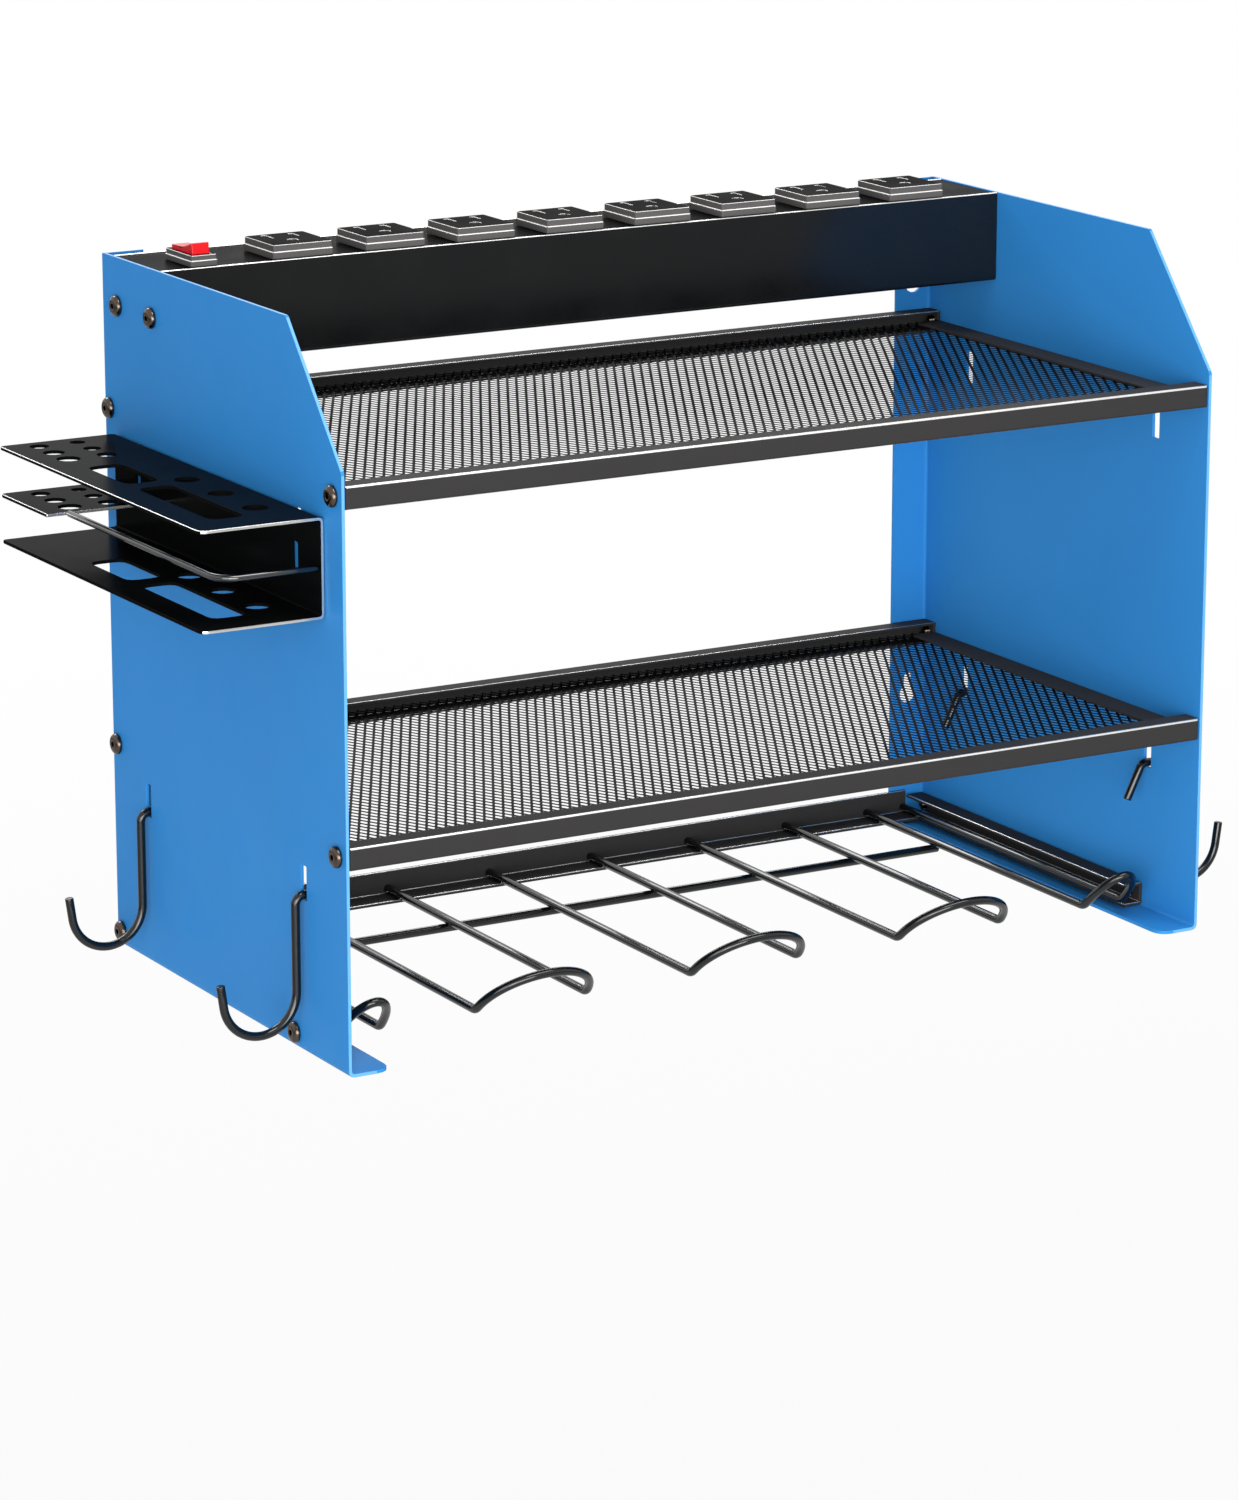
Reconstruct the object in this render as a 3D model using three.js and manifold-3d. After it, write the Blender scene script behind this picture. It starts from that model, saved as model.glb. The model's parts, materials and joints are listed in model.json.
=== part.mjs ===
// Wall mounted power tool organizer. Two bent steel side panels carry two expanded-mesh shelves, a tray with
// an eight-outlet power strip, a rack of bent wire fingers for four drills, a side rack for hand tools and
// four hooks. Lengths are millimetres, +Z is up and +X is to the right of someone who faces the organizer.
// The wall is the plane Y = 0 and the organizer stands out from it towards -Y. Z = 0 is the underside of the
// side panels.
import * as THREE from "three";
import { mergeVertices } from "three/addons/utils/BufferGeometryUtils.js";
import Module from "manifold-3d";

const wasm = await Module();
wasm.setup();

// Driving dimensions of the whole organizer.
const overall = { width: 430, depth: 226, height: 312 };
const clearance = 0.3; // left between neighbouring pieces
const overrun = 4; // how far a cutting tool runs past the faces it cuts

// Side panels: one sheet each, with a flange turned in at the wall and another turned in at the bottom.
const panel = {
  sheet: 1.5,
  bend: 3,
  flange: 20,
  chamferRun: 48,
  chamferDrop: 57,
  chamferRadius: 1,
  cornerRadius: 3,
  footRadius: 7,
  bendHeight: 8,
  relief: 4,
};

// Upright slots in the panels, which take the hooks and the side rack.
const slot = {
  width: 5.2,
  height: 15,
  corner: 0.4,
  frontInset: 39,
  rearInset: 37,
  lowerFoot: 67,
  upperDrop: 93,
};

// Keyholes in the wall flanges.
const keyhole = {
  headRadius: 4.6,
  neckWidth: 4.6,
  neckHeight: 8,
  edgeInset: 9.6,
  upperDrop: 50,
  lowerHeight: 62,
};

// Flanged button-head bolts with a hexagon socket, M4.
const bolt = {
  radius: 2,
  hole: 2.5,
  holeSides: 8,
  length: 5.8,
  headRadius: 4.7,
  headHeight: 2.6,
  rimHeight: 0.7,
  domeRadius: 3.4,
  domeHeight: 2.1,
  mouthRadius: 1.9,
  socketRadius: 1.45,
  socketDepth: 1.5,
  sides: 8,
};

// Shelves: front and rear rails of C section, L-shaped side rims and a flat sheet of expanded mesh.
const shelf = {
  upperDrop: 62.4,
  lowerTop: 98.4,
  sheet: 1.2,
  railDepth: 10,
  railHeight: 10,
  railBend: 1.6,
  tabSheet: 1.5,
  boltInset: 7.5,
  rimWidth: 13,
  rimDrop: 4.4,
  meshSheet: 1,
  meshLap: 8,
  meshTuck: 6,
};
const mesh = { pitchX: 36, pitchY: 50, margin: 2, openShare: 0.84 };

// Tray across the top and the power strip that lies in it.
const tray = {
  sheet: 1.2,
  bend: 1.6,
  front: 58,
  rear: 10,
  drop: 41,
  tabDepth: 13,
  tabInset: 2,
  boltHeight: 20,
  boltInset: 7,
};
const strip = { below: 0.4, endGap: 4.8, edge: 0.8, lid: 1.1, lidGap: 0.4, pocketDepth: 5, neckPocket: 2 };
const outlet = {
  count: 8,
  leftInset: 64.3,
  rightInset: 37.5,
  frontGap: 1.6,
  footWidth: 29.2,
  footDepth: 29.2,
  footHeight: 3,
  headWidth: 28.4,
  headDepth: 28.4,
  headHeight: 3,
  corner: 1,
  bladeGap: 12.7,
  bladeWidth: 2,
  neutralLength: 8.2,
  liveLength: 6.6,
  bladeShift: 7.5,
  groundRadius: 2.5,
  groundShift: 4.4,
  slotDepth: 4.6,
};

// Rocker switch in its stepped frame. The rocker turns on a cross pin under the middle of the frame.
const rocker = {
  leftInset: 16.9,
  frontGap: 1.3,
  frameWidth: 13,
  frameDepth: 26.4,
  footHeight: 2.5,
  ledge: 0.4,
  headHeight: 2.3,
  corner: 1,
  width: 8.4,
  length: 20,
  endHeight: 5.5,
  dipHeight: 4,
  shoulder: 0.4,
  bellyLength: 11,
  bellyDepth: 3.4,
  pivotRise: 3,
  sideGap: 0.35,
  endGap: 0.9,
  pinRadius: 1,
  pinReach: 0.8,
  tilt: 9,
};
const gland = {
  flangeRadius: 8,
  flangeHeight: 2.4,
  tipRadius: 5.6,
  drop: 9,
  neckRadius: 5,
  neckRise: 1.4,
  bore: 3.4,
};

// Drill rack: two side rails, a rear bar, a cross wire and five hairpin fingers with raised, rounded fronts.
const wireRadius = 2;
const rack = {
  railFront: 185.7,
  railRear: 3.5,
  railWidth: 9.9,
  railHeight: 10.6,
  railSheet: 1.5,
  frontBoltInset: 7.7,
  rearBoltInset: 3.3,
  barDepth: 14,
  barHeight: 12,
  barSheet: 1.5,
  fingerFront: 187,
  crossInset: 60,
  crossReach: 4,
  fullWidth: 58,
  edgeWidth: 20.8,
  edgeGap: 46.2,
  archHeight: 24,
  archTilt: 45,
  kneeRadius: 6,
};

// Hand-tool rack on the left panel: one bent sheet with two shelves, and a wire and a drill-bit shelf
// between them.
const side = {
  sheet: 1.5,
  bend: 2.5,
  reach: 55.7,
  frontInset: 15.5,
  rear: 14,
  topRise: 15.5,
  bottomDrop: 25.6,
  middleDrop: 5.3,
  corner: 4,
  tabWidth: 4,
  tabRise: 1.1,
  tabReach: 2.2,
  tabDrop: 10,
  windowDrop: 12.3,
  windowWidth: 5.4,
  wireRadius: 1.5,
  wireReach: 45.5,
  wireBend: 9,
  wireInset: 2.4,
  driverRadius: 5.5,
  driverReach: 16,
  driverShares: [0.2, 0.415, 0.63],
  plierReach: 34,
  plierWidth: 16,
  plierCorner: 5,
  plierShares: [
    [0.118, 0.589],
    [0.657, 0.926],
  ],
  bitShelf: 48,
  bitInset: 9,
  bitPitch: 15,
  bitReaches: [23, 41],
  bitRadii: [
    [3.4, 3.9, 4.4],
    [4.2, 4.7, 5.2],
  ],
};

// J-shaped hooks of bent wire, hung in the panel slots.
const hook = {
  standoff: 4,
  shoulderRadius: 4,
  cupRadius: 17,
  cupHeight: 28,
  tipHeight: 10,
  tipLean: 8,
  innerLean: 26,
  innerLength: 18,
  innerOut: 3,
};

const faceX = overall.width / 2; // outer face of a side panel
const innerX = faceX - panel.sheet; // its inner face
const fitX = innerX - clearance; // where everything between the panels ends
const rearY = -panel.sheet - clearance; // back of what stands in front of the wall flanges
const upperSlotFoot = overall.height - slot.upperDrop;
const upperShelfTop = overall.height - shelf.upperDrop;

const paint = { roughness: 0.38, metalness: 0.1 };
const material = {
  panelBlue: () => new THREE.MeshStandardMaterial({ color: 0x3380c4, ...paint }),
  blackSheet: () => new THREE.MeshStandardMaterial({ color: 0x2b2b2b, ...paint }),
  blackWire: () => new THREE.MeshStandardMaterial({ color: 0x18191a, roughness: 0.25, metalness: 0.2 }),
  stripBlack: () => new THREE.MeshStandardMaterial({ color: 0x17181a, roughness: 0.3, metalness: 0 }),
  outletGrey: () => new THREE.MeshStandardMaterial({ color: 0x4a4848, roughness: 0.5, metalness: 0 }),
  rockerRed: () => new THREE.MeshStandardMaterial({ color: 0xd0141c, roughness: 0.3, metalness: 0 }),
  boltSteel: () => new THREE.MeshStandardMaterial({ color: 0x6a6058, roughness: 0.3, metalness: 1 }),
};

const organizer = new THREE.Group();

// Adds one piece, from a three.js geometry or a manifold-3d solid.
function add(name, shape, colour) {
  const piece = new THREE.Mesh(shape.isBufferGeometry ? shape : geometryOf(shape), colour());
  piece.name = name;
  organizer.add(piece);
}

// Turns a closed geometry into a manifold-3d solid.
function solid(geometry) {
  const bare = geometry.clone();
  bare.deleteAttribute("normal");
  bare.deleteAttribute("uv");
  const merged = mergeVertices(bare);
  return new wasm.Manifold(
    new wasm.Mesh({
      numProp: 3,
      vertProperties: new Float32Array(merged.attributes.position.array),
      triVerts: new Uint32Array(merged.index.array),
    }),
  );
}

// Turns a manifold-3d solid back into a geometry.
function geometryOf(made) {
  const data = made.getMesh();
  const geometry = new THREE.BufferGeometry();
  geometry.setAttribute("position", new THREE.BufferAttribute(data.vertProperties, 3));
  geometry.setIndex(new THREE.BufferAttribute(data.triVerts, 1));
  geometry.computeVertexNormals();
  return geometry;
}

const join = (first, ...others) => others.reduce((sum, other) => sum.add(other), first);
const cut = (body, tools) => tools.reduce((rest, tool) => rest.subtract(tool), body);

// The world directions of an outline's two axes and of its extrusion, by the axis that it is carried along.
// Outlines are drawn in (y, z) for x, in (x, z) for y and in (x, y) for z.
const carried = {
  x: [new THREE.Vector3(0, 1, 0), new THREE.Vector3(0, 0, 1), new THREE.Vector3(1, 0, 0)],
  y: [new THREE.Vector3(1, 0, 0), new THREE.Vector3(0, 0, 1), new THREE.Vector3(0, -1, 0)],
  z: [new THREE.Vector3(1, 0, 0), new THREE.Vector3(0, 1, 0), new THREE.Vector3(0, 0, 1)],
};

// Carries an outline along an axis, between two places on it.
function prism(shape, axis, from, to, curveSegments = 4) {
  const low = Math.min(from, to);
  const high = Math.max(from, to);
  const options = { depth: high - low, bevelEnabled: false, curveSegments };
  const geometry = new THREE.ExtrudeGeometry(shape, options);
  geometry.applyMatrix4(new THREE.Matrix4().makeBasis(...carried[axis]));
  const shift = { x: [low, 0, 0], y: [0, high, 0], z: [0, 0, low] };
  return solid(geometry.translate(...shift[axis]));
}

// An outline through corners [a, b, radius], each rounded where it has a radius.
function rounded(corners) {
  const shape = new THREE.Shape();
  corners.forEach(([a, b, radius = 0], i) => {
    const here = new THREE.Vector2(a, b);
    const before = new THREE.Vector2(...corners.at(i - 1));
    const after = new THREE.Vector2(...corners[(i + 1) % corners.length]);
    const start = here.clone().add(before.sub(here).setLength(radius));
    const end = here.clone().add(after.sub(here).setLength(radius));
    if (i === 0) shape.moveTo(start.x, start.y);
    else shape.lineTo(start.x, start.y);
    if (radius > 0) shape.quadraticCurveTo(here.x, here.y, end.x, end.y);
  });
  shape.closePath();
  return shape;
}

const rectangle = (a0, a1, b0, b1, radius = 0) =>
  rounded([
    [a0, b0, radius],
    [a1, b0, radius],
    [a1, b1, radius],
    [a0, b1, radius],
  ]);

// A regular polygon with its corners on a circle, for round holes and wire sections.
function ring(a, b, radius, sides = 12) {
  const turn = (i) => ((i + 1 / 2) / sides) * 2 * Math.PI;
  const corner = (_, i) => new THREE.Vector2(a + radius * Math.cos(turn(i)), b + radius * Math.sin(turn(i)));
  return new THREE.Shape(Array.from({ length: sides }, corner));
}

const block = (x0, x1, y0, y1, z0, z1) => prism(rectangle(x0, x1, y0, y1), "z", z0, z1);

// A wire's centre line, with a ring of the section at each of its own points.
class WireLine extends THREE.Curve {
  constructor(points) {
    super();
    this.points = points;
  }
  getPoint(t, target = new THREE.Vector3()) {
    const last = this.points.length - 1;
    const place = Math.min(t, 1) * last;
    const before = Math.min(Math.floor(place), last - 1);
    return target.lerpVectors(this.points[before], this.points[before + 1], place - before);
  }
  getPointAt(t, target) {
    return this.getPoint(t, target);
  }
  getTangent(t, target = new THREE.Vector3()) {
    const last = this.points.length - 1;
    const i = Math.round(t * last);
    const into = this.points[Math.max(i, 1)].clone().sub(this.points[Math.max(i, 1) - 1]);
    const out = this.points[Math.min(i + 1, last)].clone().sub(this.points[Math.min(i + 1, last) - 1]);
    return target.copy(into.normalize().add(out.normalize()).normalize());
  }
  getTangentAt(t, target) {
    return this.getTangent(t, target);
  }
}

// Points along straight runs between corners, with a round bend of the corner's radius at each.
function bent(corners, steps = 4) {
  const points = [corners[0].at];
  for (let i = 1; i < corners.length - 1; i += 1) {
    const { at, radius } = corners[i];
    const into = at.clone().sub(corners[i - 1].at).normalize();
    const out = corners[i + 1].at.clone().sub(at).normalize();
    const angle = into.angleTo(out);
    const start = at.clone().addScaledVector(into, -radius * Math.tan(angle / 2));
    const inward = out.clone().addScaledVector(into, -Math.cos(angle)).normalize();
    const centre = start.clone().addScaledVector(inward, radius);
    for (let step = 0; step <= steps; step += 1) {
      const turned = (angle * step) / steps;
      const arm = inward.clone().multiplyScalar(-radius * Math.cos(turned));
      points.push(centre.clone().add(arm).addScaledVector(into, radius * Math.sin(turned)));
    }
  }
  points.push(corners.at(-1).at);
  return points;
}

// A wire of round section along its points.
function wire(points, radius, sides = 8) {
  const path = new WireLine(points);
  const options = { steps: points.length - 1, extrudePath: path };
  return new THREE.ExtrudeGeometry(ring(0, 0, radius, sides), options);
}

// Round hole along X, such as a bolt hole through a side panel or an end tab.
const crossHole = (y, z, radius, from, to) => prism(ring(y, z, radius, bolt.holeSides), "x", from, to);

// Places of the feet of the upright slots, and of every bolt in a side panel, as [y, z].
const frontSlotY = slot.frontInset - overall.depth;
const rearSlotY = -slot.rearInset;
const slotFeet = [slot.lowerFoot, upperSlotFoot];
const slotPlaces = [frontSlotY, rearSlotY].flatMap((y) => slotFeet.map((foot) => [y, foot]));
const shelfBolts = (top) => ({
  front: [shelf.boltInset - overall.depth, top - shelf.railHeight / 2],
  rear: [rearY - shelf.railDepth / 2, top - shelf.railHeight / 2],
});
const trayTop = overall.height;
const trayBottom = trayTop - tray.drop;
const trayBolts = {
  front: [tray.boltInset - tray.front, trayBottom + tray.boltHeight],
  rear: [-tray.boltInset - tray.rear, trayBottom + tray.boltHeight],
};
const rackFoot = panel.sheet + clearance; // underside of the drill rack's side rails
const rackBolts = {
  front: [rack.frontBoltInset - rack.railFront, rackFoot + rack.railHeight / 2],
  rear: [-rack.railRear - rack.rearBoltInset, rackFoot + rack.railHeight / 2],
};
const boltSets = {
  upper_shelf: shelfBolts(upperShelfTop),
  lower_shelf: shelfBolts(shelf.lowerTop),
  tray: trayBolts,
  drill_rack: rackBolts,
};

// Side panel. The plate and wall flange are one L section cut to the side outline, and the bottom flange is
// another L section that carries the plate's lowest few millimetres.
function sidePanel(hand) {
  const outer = hand * faceX;
  const inner = hand * innerX;
  const tip = hand * (faceX - panel.flange);
  const innerBend = panel.bend - panel.sheet;
  const wallSection = rounded([
    [outer, -overall.depth],
    [outer, 0, panel.bend],
    [tip, 0],
    [tip, -panel.sheet],
    [inner, -panel.sheet, innerBend],
    [inner, -overall.depth],
  ]);
  const outline = rounded([
    [0, 0],
    [-panel.relief, 0],
    [-panel.relief, panel.bendHeight],
    [-overall.depth, panel.bendHeight],
    [-overall.depth, overall.height - panel.chamferDrop, panel.chamferRadius],
    [panel.chamferRun - overall.depth, overall.height, panel.chamferRadius],
    [0, overall.height, panel.cornerRadius],
  ]);
  const plate = prism(wallSection, "z", 0, overall.height).intersect(prism(outline, "x", tip, outer));
  const footSection = rounded([
    [outer, panel.bendHeight],
    [outer, 0, panel.bend],
    [tip, 0],
    [tip, panel.sheet],
    [inner, panel.sheet, innerBend],
    [inner, panel.bendHeight],
  ]);
  const footPlan = rounded([
    [outer, -overall.depth],
    [outer, -panel.relief],
    [tip, -panel.relief],
    [tip, -overall.depth, panel.footRadius],
  ]);
  const foot = prism(footSection, "y", -overall.depth, -panel.relief).intersect(
    prism(footPlan, "z", 0, panel.bendHeight),
  );
  const [from, to] = [inner - hand * overrun, outer + hand * overrun];
  const slotShape = ([y, z]) => {
    const half = slot.width / 2;
    return prism(rectangle(y - half, y + half, z, z + slot.height, slot.corner), "x", from, to);
  };
  const places = Object.values(boltSets).flatMap(({ front, rear }) => [front, rear]);
  const holes = places.map(([y, z]) => crossHole(y, z, bolt.hole, from, to));
  const keyX = hand * (faceX - panel.flange + keyhole.edgeInset);
  const keyholes = [overall.height - keyhole.upperDrop, keyhole.lowerHeight].flatMap((z) => {
    const half = keyhole.neckWidth / 2;
    const neckTop = z + keyhole.neckHeight + half;
    return [
      prism(ring(keyX, z, keyhole.headRadius), "y", -panel.sheet - overrun, overrun),
      prism(rectangle(keyX - half, keyX + half, z, neckTop, half), "y", -panel.sheet - overrun, overrun),
    ];
  });
  return cut(plate.add(foot), [...slotPlaces.map(slotShape), ...holes, ...keyholes]);
}

// Shelf rail: a C section that opens towards the shelf, closed at each end by a tab with a bolt hole.
function shelfRail(webY, facing, top, boltPlace) {
  const bottom = top - shelf.railHeight;
  const lip = webY + facing * shelf.railDepth;
  const inside = webY + facing * shelf.sheet;
  const section = rounded([
    [lip, top],
    [webY, top, shelf.railBend],
    [webY, bottom, shelf.railBend],
    [lip, bottom],
    [lip, bottom + shelf.sheet],
    [inside, bottom + shelf.sheet],
    [inside, top - shelf.sheet],
    [lip, top - shelf.sheet],
  ]);
  const channel = prism(section, "x", -fitX, fitX);
  const tabShape = rounded([
    [lip, top],
    [webY, top, shelf.railBend],
    [webY, bottom, shelf.railBend],
    [lip, bottom],
  ]);
  const tabs = [-1, 1].map((hand) => prism(tabShape, "x", hand * fitX, hand * (fitX - shelf.tabSheet)));
  const plan = rounded([
    [-fitX, webY, shelf.railBend],
    [fitX, webY, shelf.railBend],
    [fitX, lip],
    [-fitX, lip],
  ]);
  const folded = join(channel, ...tabs).intersect(prism(plan, "z", bottom, top));
  return cut(folded, [crossHole(...boltPlace, bolt.hole, -faceX, faceX)]);
}

// Shelf rim: an L section along a side panel, whose flat leg lies on the edge of the mesh.
function shelfRim(hand, top) {
  const rimTop = top - shelf.rimDrop;
  const outer = hand * fitX;
  const leg = hand * (fitX - shelf.sheet);
  const tip = hand * (fitX - shelf.rimWidth);
  const section = rounded([
    [outer, rimTop, shelf.railBend],
    [tip, rimTop],
    [tip, rimTop - shelf.sheet],
    [leg, rimTop - shelf.sheet],
    [leg, top - shelf.railHeight],
    [outer, top - shelf.railHeight],
  ]);
  const frontEnd = shelf.railDepth + clearance - overall.depth;
  return prism(section, "y", frontEnd, rearY - shelf.railDepth - clearance);
}

// Expanded mesh: a flat sheet with staggered rows of diamonds, in the window that the rims and rails leave.
function shelfMesh(top) {
  const openX = fitX - shelf.rimWidth;
  const front = shelf.railDepth - overall.depth;
  const rear = rearY - shelf.railDepth;
  const halfX = openX + shelf.meshLap;
  const sheet = rectangle(-halfX, halfX, front - shelf.meshTuck, rear + shelf.meshTuck);
  const middleY = (front + rear) / 2;
  const [reachX, reachY] = [openX - mesh.margin, (rear - front) / 2 - mesh.margin];
  const [a, b] = [(mesh.pitchX / 2) * mesh.openShare, (mesh.pitchY / 2) * mesh.openShare];
  const columns = Math.floor((2 * reachX) / mesh.pitchX);
  const rows = Math.floor((2 * reachY) / mesh.pitchY);
  for (const stagger of [0, 1]) {
    for (let column = 0; column < columns - stagger; column += 1) {
      for (let row = 0; row < rows - stagger; row += 1) {
        const x = (column - (columns - 1 - stagger) / 2) * mesh.pitchX;
        const y = middleY + (row - (rows - 1 - stagger) / 2) * mesh.pitchY;
        const corners = [new THREE.Vector2(x - a, y), new THREE.Vector2(x, y - b)];
        corners.push(new THREE.Vector2(x + a, y), new THREE.Vector2(x, y + b));
        sheet.holes.push(new THREE.Path(corners));
      }
    }
  }
  const sheetTop = top - shelf.rimDrop - shelf.sheet - clearance;
  return prism(sheet, "z", sheetTop - shelf.meshSheet, sheetTop);
}

// Button-head bolt on the outside of a panel, with its shank pointing in.
function panelBolt(hand, [y, z]) {
  const profile = [
    [0, -bolt.length],
    [bolt.radius, -bolt.length],
    [bolt.radius, 0],
    [bolt.headRadius, 0],
    [bolt.headRadius, bolt.rimHeight],
    [bolt.domeRadius, bolt.domeHeight],
    [bolt.mouthRadius, bolt.headHeight],
    [0, bolt.headHeight],
  ].map(([r, h]) => new THREE.Vector2(r, h));
  const body = solid(new THREE.LatheGeometry(profile, bolt.sides));
  const key = new THREE.CylinderGeometry(bolt.socketRadius, bolt.socketRadius, bolt.socketDepth + overrun, 6);
  key.translate(0, bolt.headHeight - bolt.socketDepth + (bolt.socketDepth + overrun) / 2, 0);
  const turned = geometryOf(body.subtract(solid(key))).rotateZ((-hand * Math.PI) / 2);
  return turned.translate(hand * (faceX + clearance), y, z);
}

// Power strip case: a long box with eased edges, which lies in the tray.
const stripTop = trayTop - strip.below;
const stripFoot = trayBottom + tray.sheet + clearance;
const stripFront = tray.sheet + clearance - tray.front;
const stripRear = -tray.rear - tray.sheet - clearance;
const stripHalf = fitX - strip.endGap;
const switchX = rocker.leftInset - stripHalf;
const switchY = stripFront + rocker.frontGap + rocker.frameDepth / 2;
const pivotZ = stripTop + rocker.pivotRise;
const glandX = switchX;
const glandY = (stripFront + stripRear) / 2;

// Tray: a U section with an end tab at each corner.
function powerTray() {
  const [front, rear] = [-tray.front, -tray.rear];
  const section = rounded([
    [front, trayTop],
    [front, trayBottom, tray.bend],
    [rear, trayBottom, tray.bend],
    [rear, trayTop],
    [rear - tray.sheet, trayTop],
    [rear - tray.sheet, trayBottom + tray.sheet],
    [front + tray.sheet, trayBottom + tray.sheet],
    [front + tray.sheet, trayTop],
  ]);
  const tabs = [-1, 1].flatMap((hand) => {
    const ends = [hand * fitX, hand * (fitX - tray.sheet)];
    const [low, high] = [trayBottom, trayTop - tray.tabInset];
    return [
      prism(rectangle(front, front + tray.tabDepth, low, high, tray.bend), "x", ...ends),
      prism(rectangle(rear - tray.tabDepth, rear, low, high, tray.bend), "x", ...ends),
    ];
  });
  const boltHoles = Object.values(trayBolts).map((place) => crossHole(...place, bolt.hole, -faceX, faceX));
  const glandHole = prism(
    ring(glandX, glandY, gland.neckRadius + clearance),
    "z",
    trayBottom - overrun,
    trayBottom + overrun,
  );
  return cut(join(prism(section, "x", -fitX, fitX), ...tabs), [...boltHoles, glandHole]);
}

// The case is pocketed for the rocker and for the gland's neck. Its top runs on over the tray's end tabs.
function stripCase() {
  const shape = rectangle(stripFront, stripRear, stripFoot, stripTop, strip.edge);
  const pocketX = rocker.width / 2 + rocker.sideGap + rocker.pinReach;
  const pocketY = rocker.length / 2 + rocker.endGap;
  const pocket = block(
    switchX - pocketX,
    switchX + pocketX,
    switchY - pocketY,
    switchY + pocketY,
    stripTop - strip.pocketDepth,
    stripTop + overrun,
  );
  const neckPocket = prism(
    ring(glandX, glandY, gland.neckRadius + clearance),
    "z",
    stripFoot - overrun,
    stripFoot + strip.neckPocket,
  );
  const lid = rectangle(stripFront, stripRear, stripTop - strip.lid, stripTop, strip.edge / 2);
  const lidHalf = fitX - strip.lidGap;
  const body = prism(shape, "x", -stripHalf, stripHalf).add(prism(lid, "x", -lidHalf, lidHalf));
  return cut(body, [pocket, neckPocket]);
}

// Outlet: a two-step block with slots for two flat blades and a round ground pin.
function outletBlock(number) {
  const pitch = (2 * stripHalf - outlet.leftInset - outlet.rightInset) / (outlet.count - 1);
  const x = outlet.leftInset - stripHalf + number * pitch;
  const y = stripFront + outlet.frontGap + outlet.footDepth / 2;
  const foot = stripTop + clearance;
  const ledge = foot + outlet.footHeight;
  const top = ledge + outlet.headHeight;
  const step = (width, depth, low, high) => {
    const [w, d] = [width / 2, depth / 2];
    return prism(rectangle(x - w, x + w, y - d, y + d, outlet.corner), "z", low, high, 2);
  };
  const blade = (hand, length) => {
    const middle = x + (hand * outlet.bladeGap) / 2;
    const [w, d] = [outlet.bladeWidth / 2, length / 2];
    const shifted = y + outlet.bladeShift;
    return block(middle - w, middle + w, shifted - d, shifted + d, top - outlet.slotDepth, top + overrun);
  };
  const ground = prism(
    ring(x, y - outlet.groundShift, outlet.groundRadius, 10),
    "z",
    top - outlet.slotDepth,
    top + overrun,
  );
  const body = step(outlet.footWidth, outlet.footDepth, foot, ledge).add(
    step(outlet.headWidth, outlet.headDepth, ledge, top),
  );
  return cut(body, [blade(-1, outlet.neutralLength), blade(1, outlet.liveLength), ground]);
}

// Stepped frame round the rocker, with a hole through each cheek for the rocker's pin.
function switchFrame() {
  const foot = stripTop + clearance;
  const ledge = foot + rocker.footHeight;
  const top = ledge + rocker.headHeight;
  const around = (inset, low, high) => {
    const [w, d] = [rocker.frameWidth / 2 - inset, rocker.frameDepth / 2 - inset];
    const shape = rectangle(switchX - w, switchX + w, switchY - d, switchY + d, rocker.corner);
    return prism(shape, "z", low, high, 2);
  };
  const [w, d] = [rocker.width / 2 + rocker.sideGap, rocker.length / 2 + rocker.endGap];
  const window = block(
    switchX - w,
    switchX + w,
    switchY - d,
    switchY + d,
    foot - overrun,
    top + overrun,
  );
  const pinHole = crossHole(
    switchY,
    pivotZ,
    rocker.pinRadius + clearance,
    switchX - w - rocker.pinReach - clearance,
    switchX + w + rocker.pinReach + clearance,
  );
  return cut(around(0, foot, ledge).add(around(rocker.ledge, ledge, top)), [window, pinHole]);
}

// Rocker, drawn level and then tilted with its front end up.
function switchRocker() {
  const half = rocker.length / 2;
  const belly = rocker.bellyLength / 2;
  const shape = rounded([
    [-half, rocker.endHeight],
    [-half, rocker.shoulder],
    [-belly, -rocker.bellyDepth],
    [belly, -rocker.bellyDepth],
    [half, rocker.shoulder],
    [half, rocker.endHeight],
    [0, rocker.dipHeight, rocker.length / 4],
  ]);
  const halfX = rocker.width / 2;
  const pinX = halfX + rocker.sideGap + rocker.pinReach;
  const body = prism(shape, "x", -halfX, halfX);
  const pin = prism(ring(0, 0, rocker.pinRadius, 8), "x", -pinX, pinX);
  const tilted = geometryOf(body.add(pin)).rotateX(THREE.MathUtils.degToRad(-rocker.tilt));
  return tilted.translate(switchX, switchY, pivotZ);
}

// Cord gland under the tray: a domed ring with a neck through the sheet and a blind bore from below.
function cordGland() {
  const under = trayBottom - clearance;
  const tip = under - gland.drop;
  const neckTop = stripFoot + gland.neckRise;
  const profile = [
    [gland.bore, tip],
    [gland.tipRadius, tip],
    [gland.tipRadius, under - gland.flangeHeight],
    [gland.flangeRadius, under - gland.flangeHeight],
    [gland.flangeRadius, under],
    [gland.neckRadius, under],
    [gland.neckRadius, neckTop],
    [gland.bore, neckTop],
    [gland.bore, tip],
  ].map(([r, z]) => new THREE.Vector2(r, z));
  const geometry = new THREE.LatheGeometry(profile, 16).rotateX(Math.PI / 2);
  return geometry.translate(glandX, glandY, 0);
}

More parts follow.
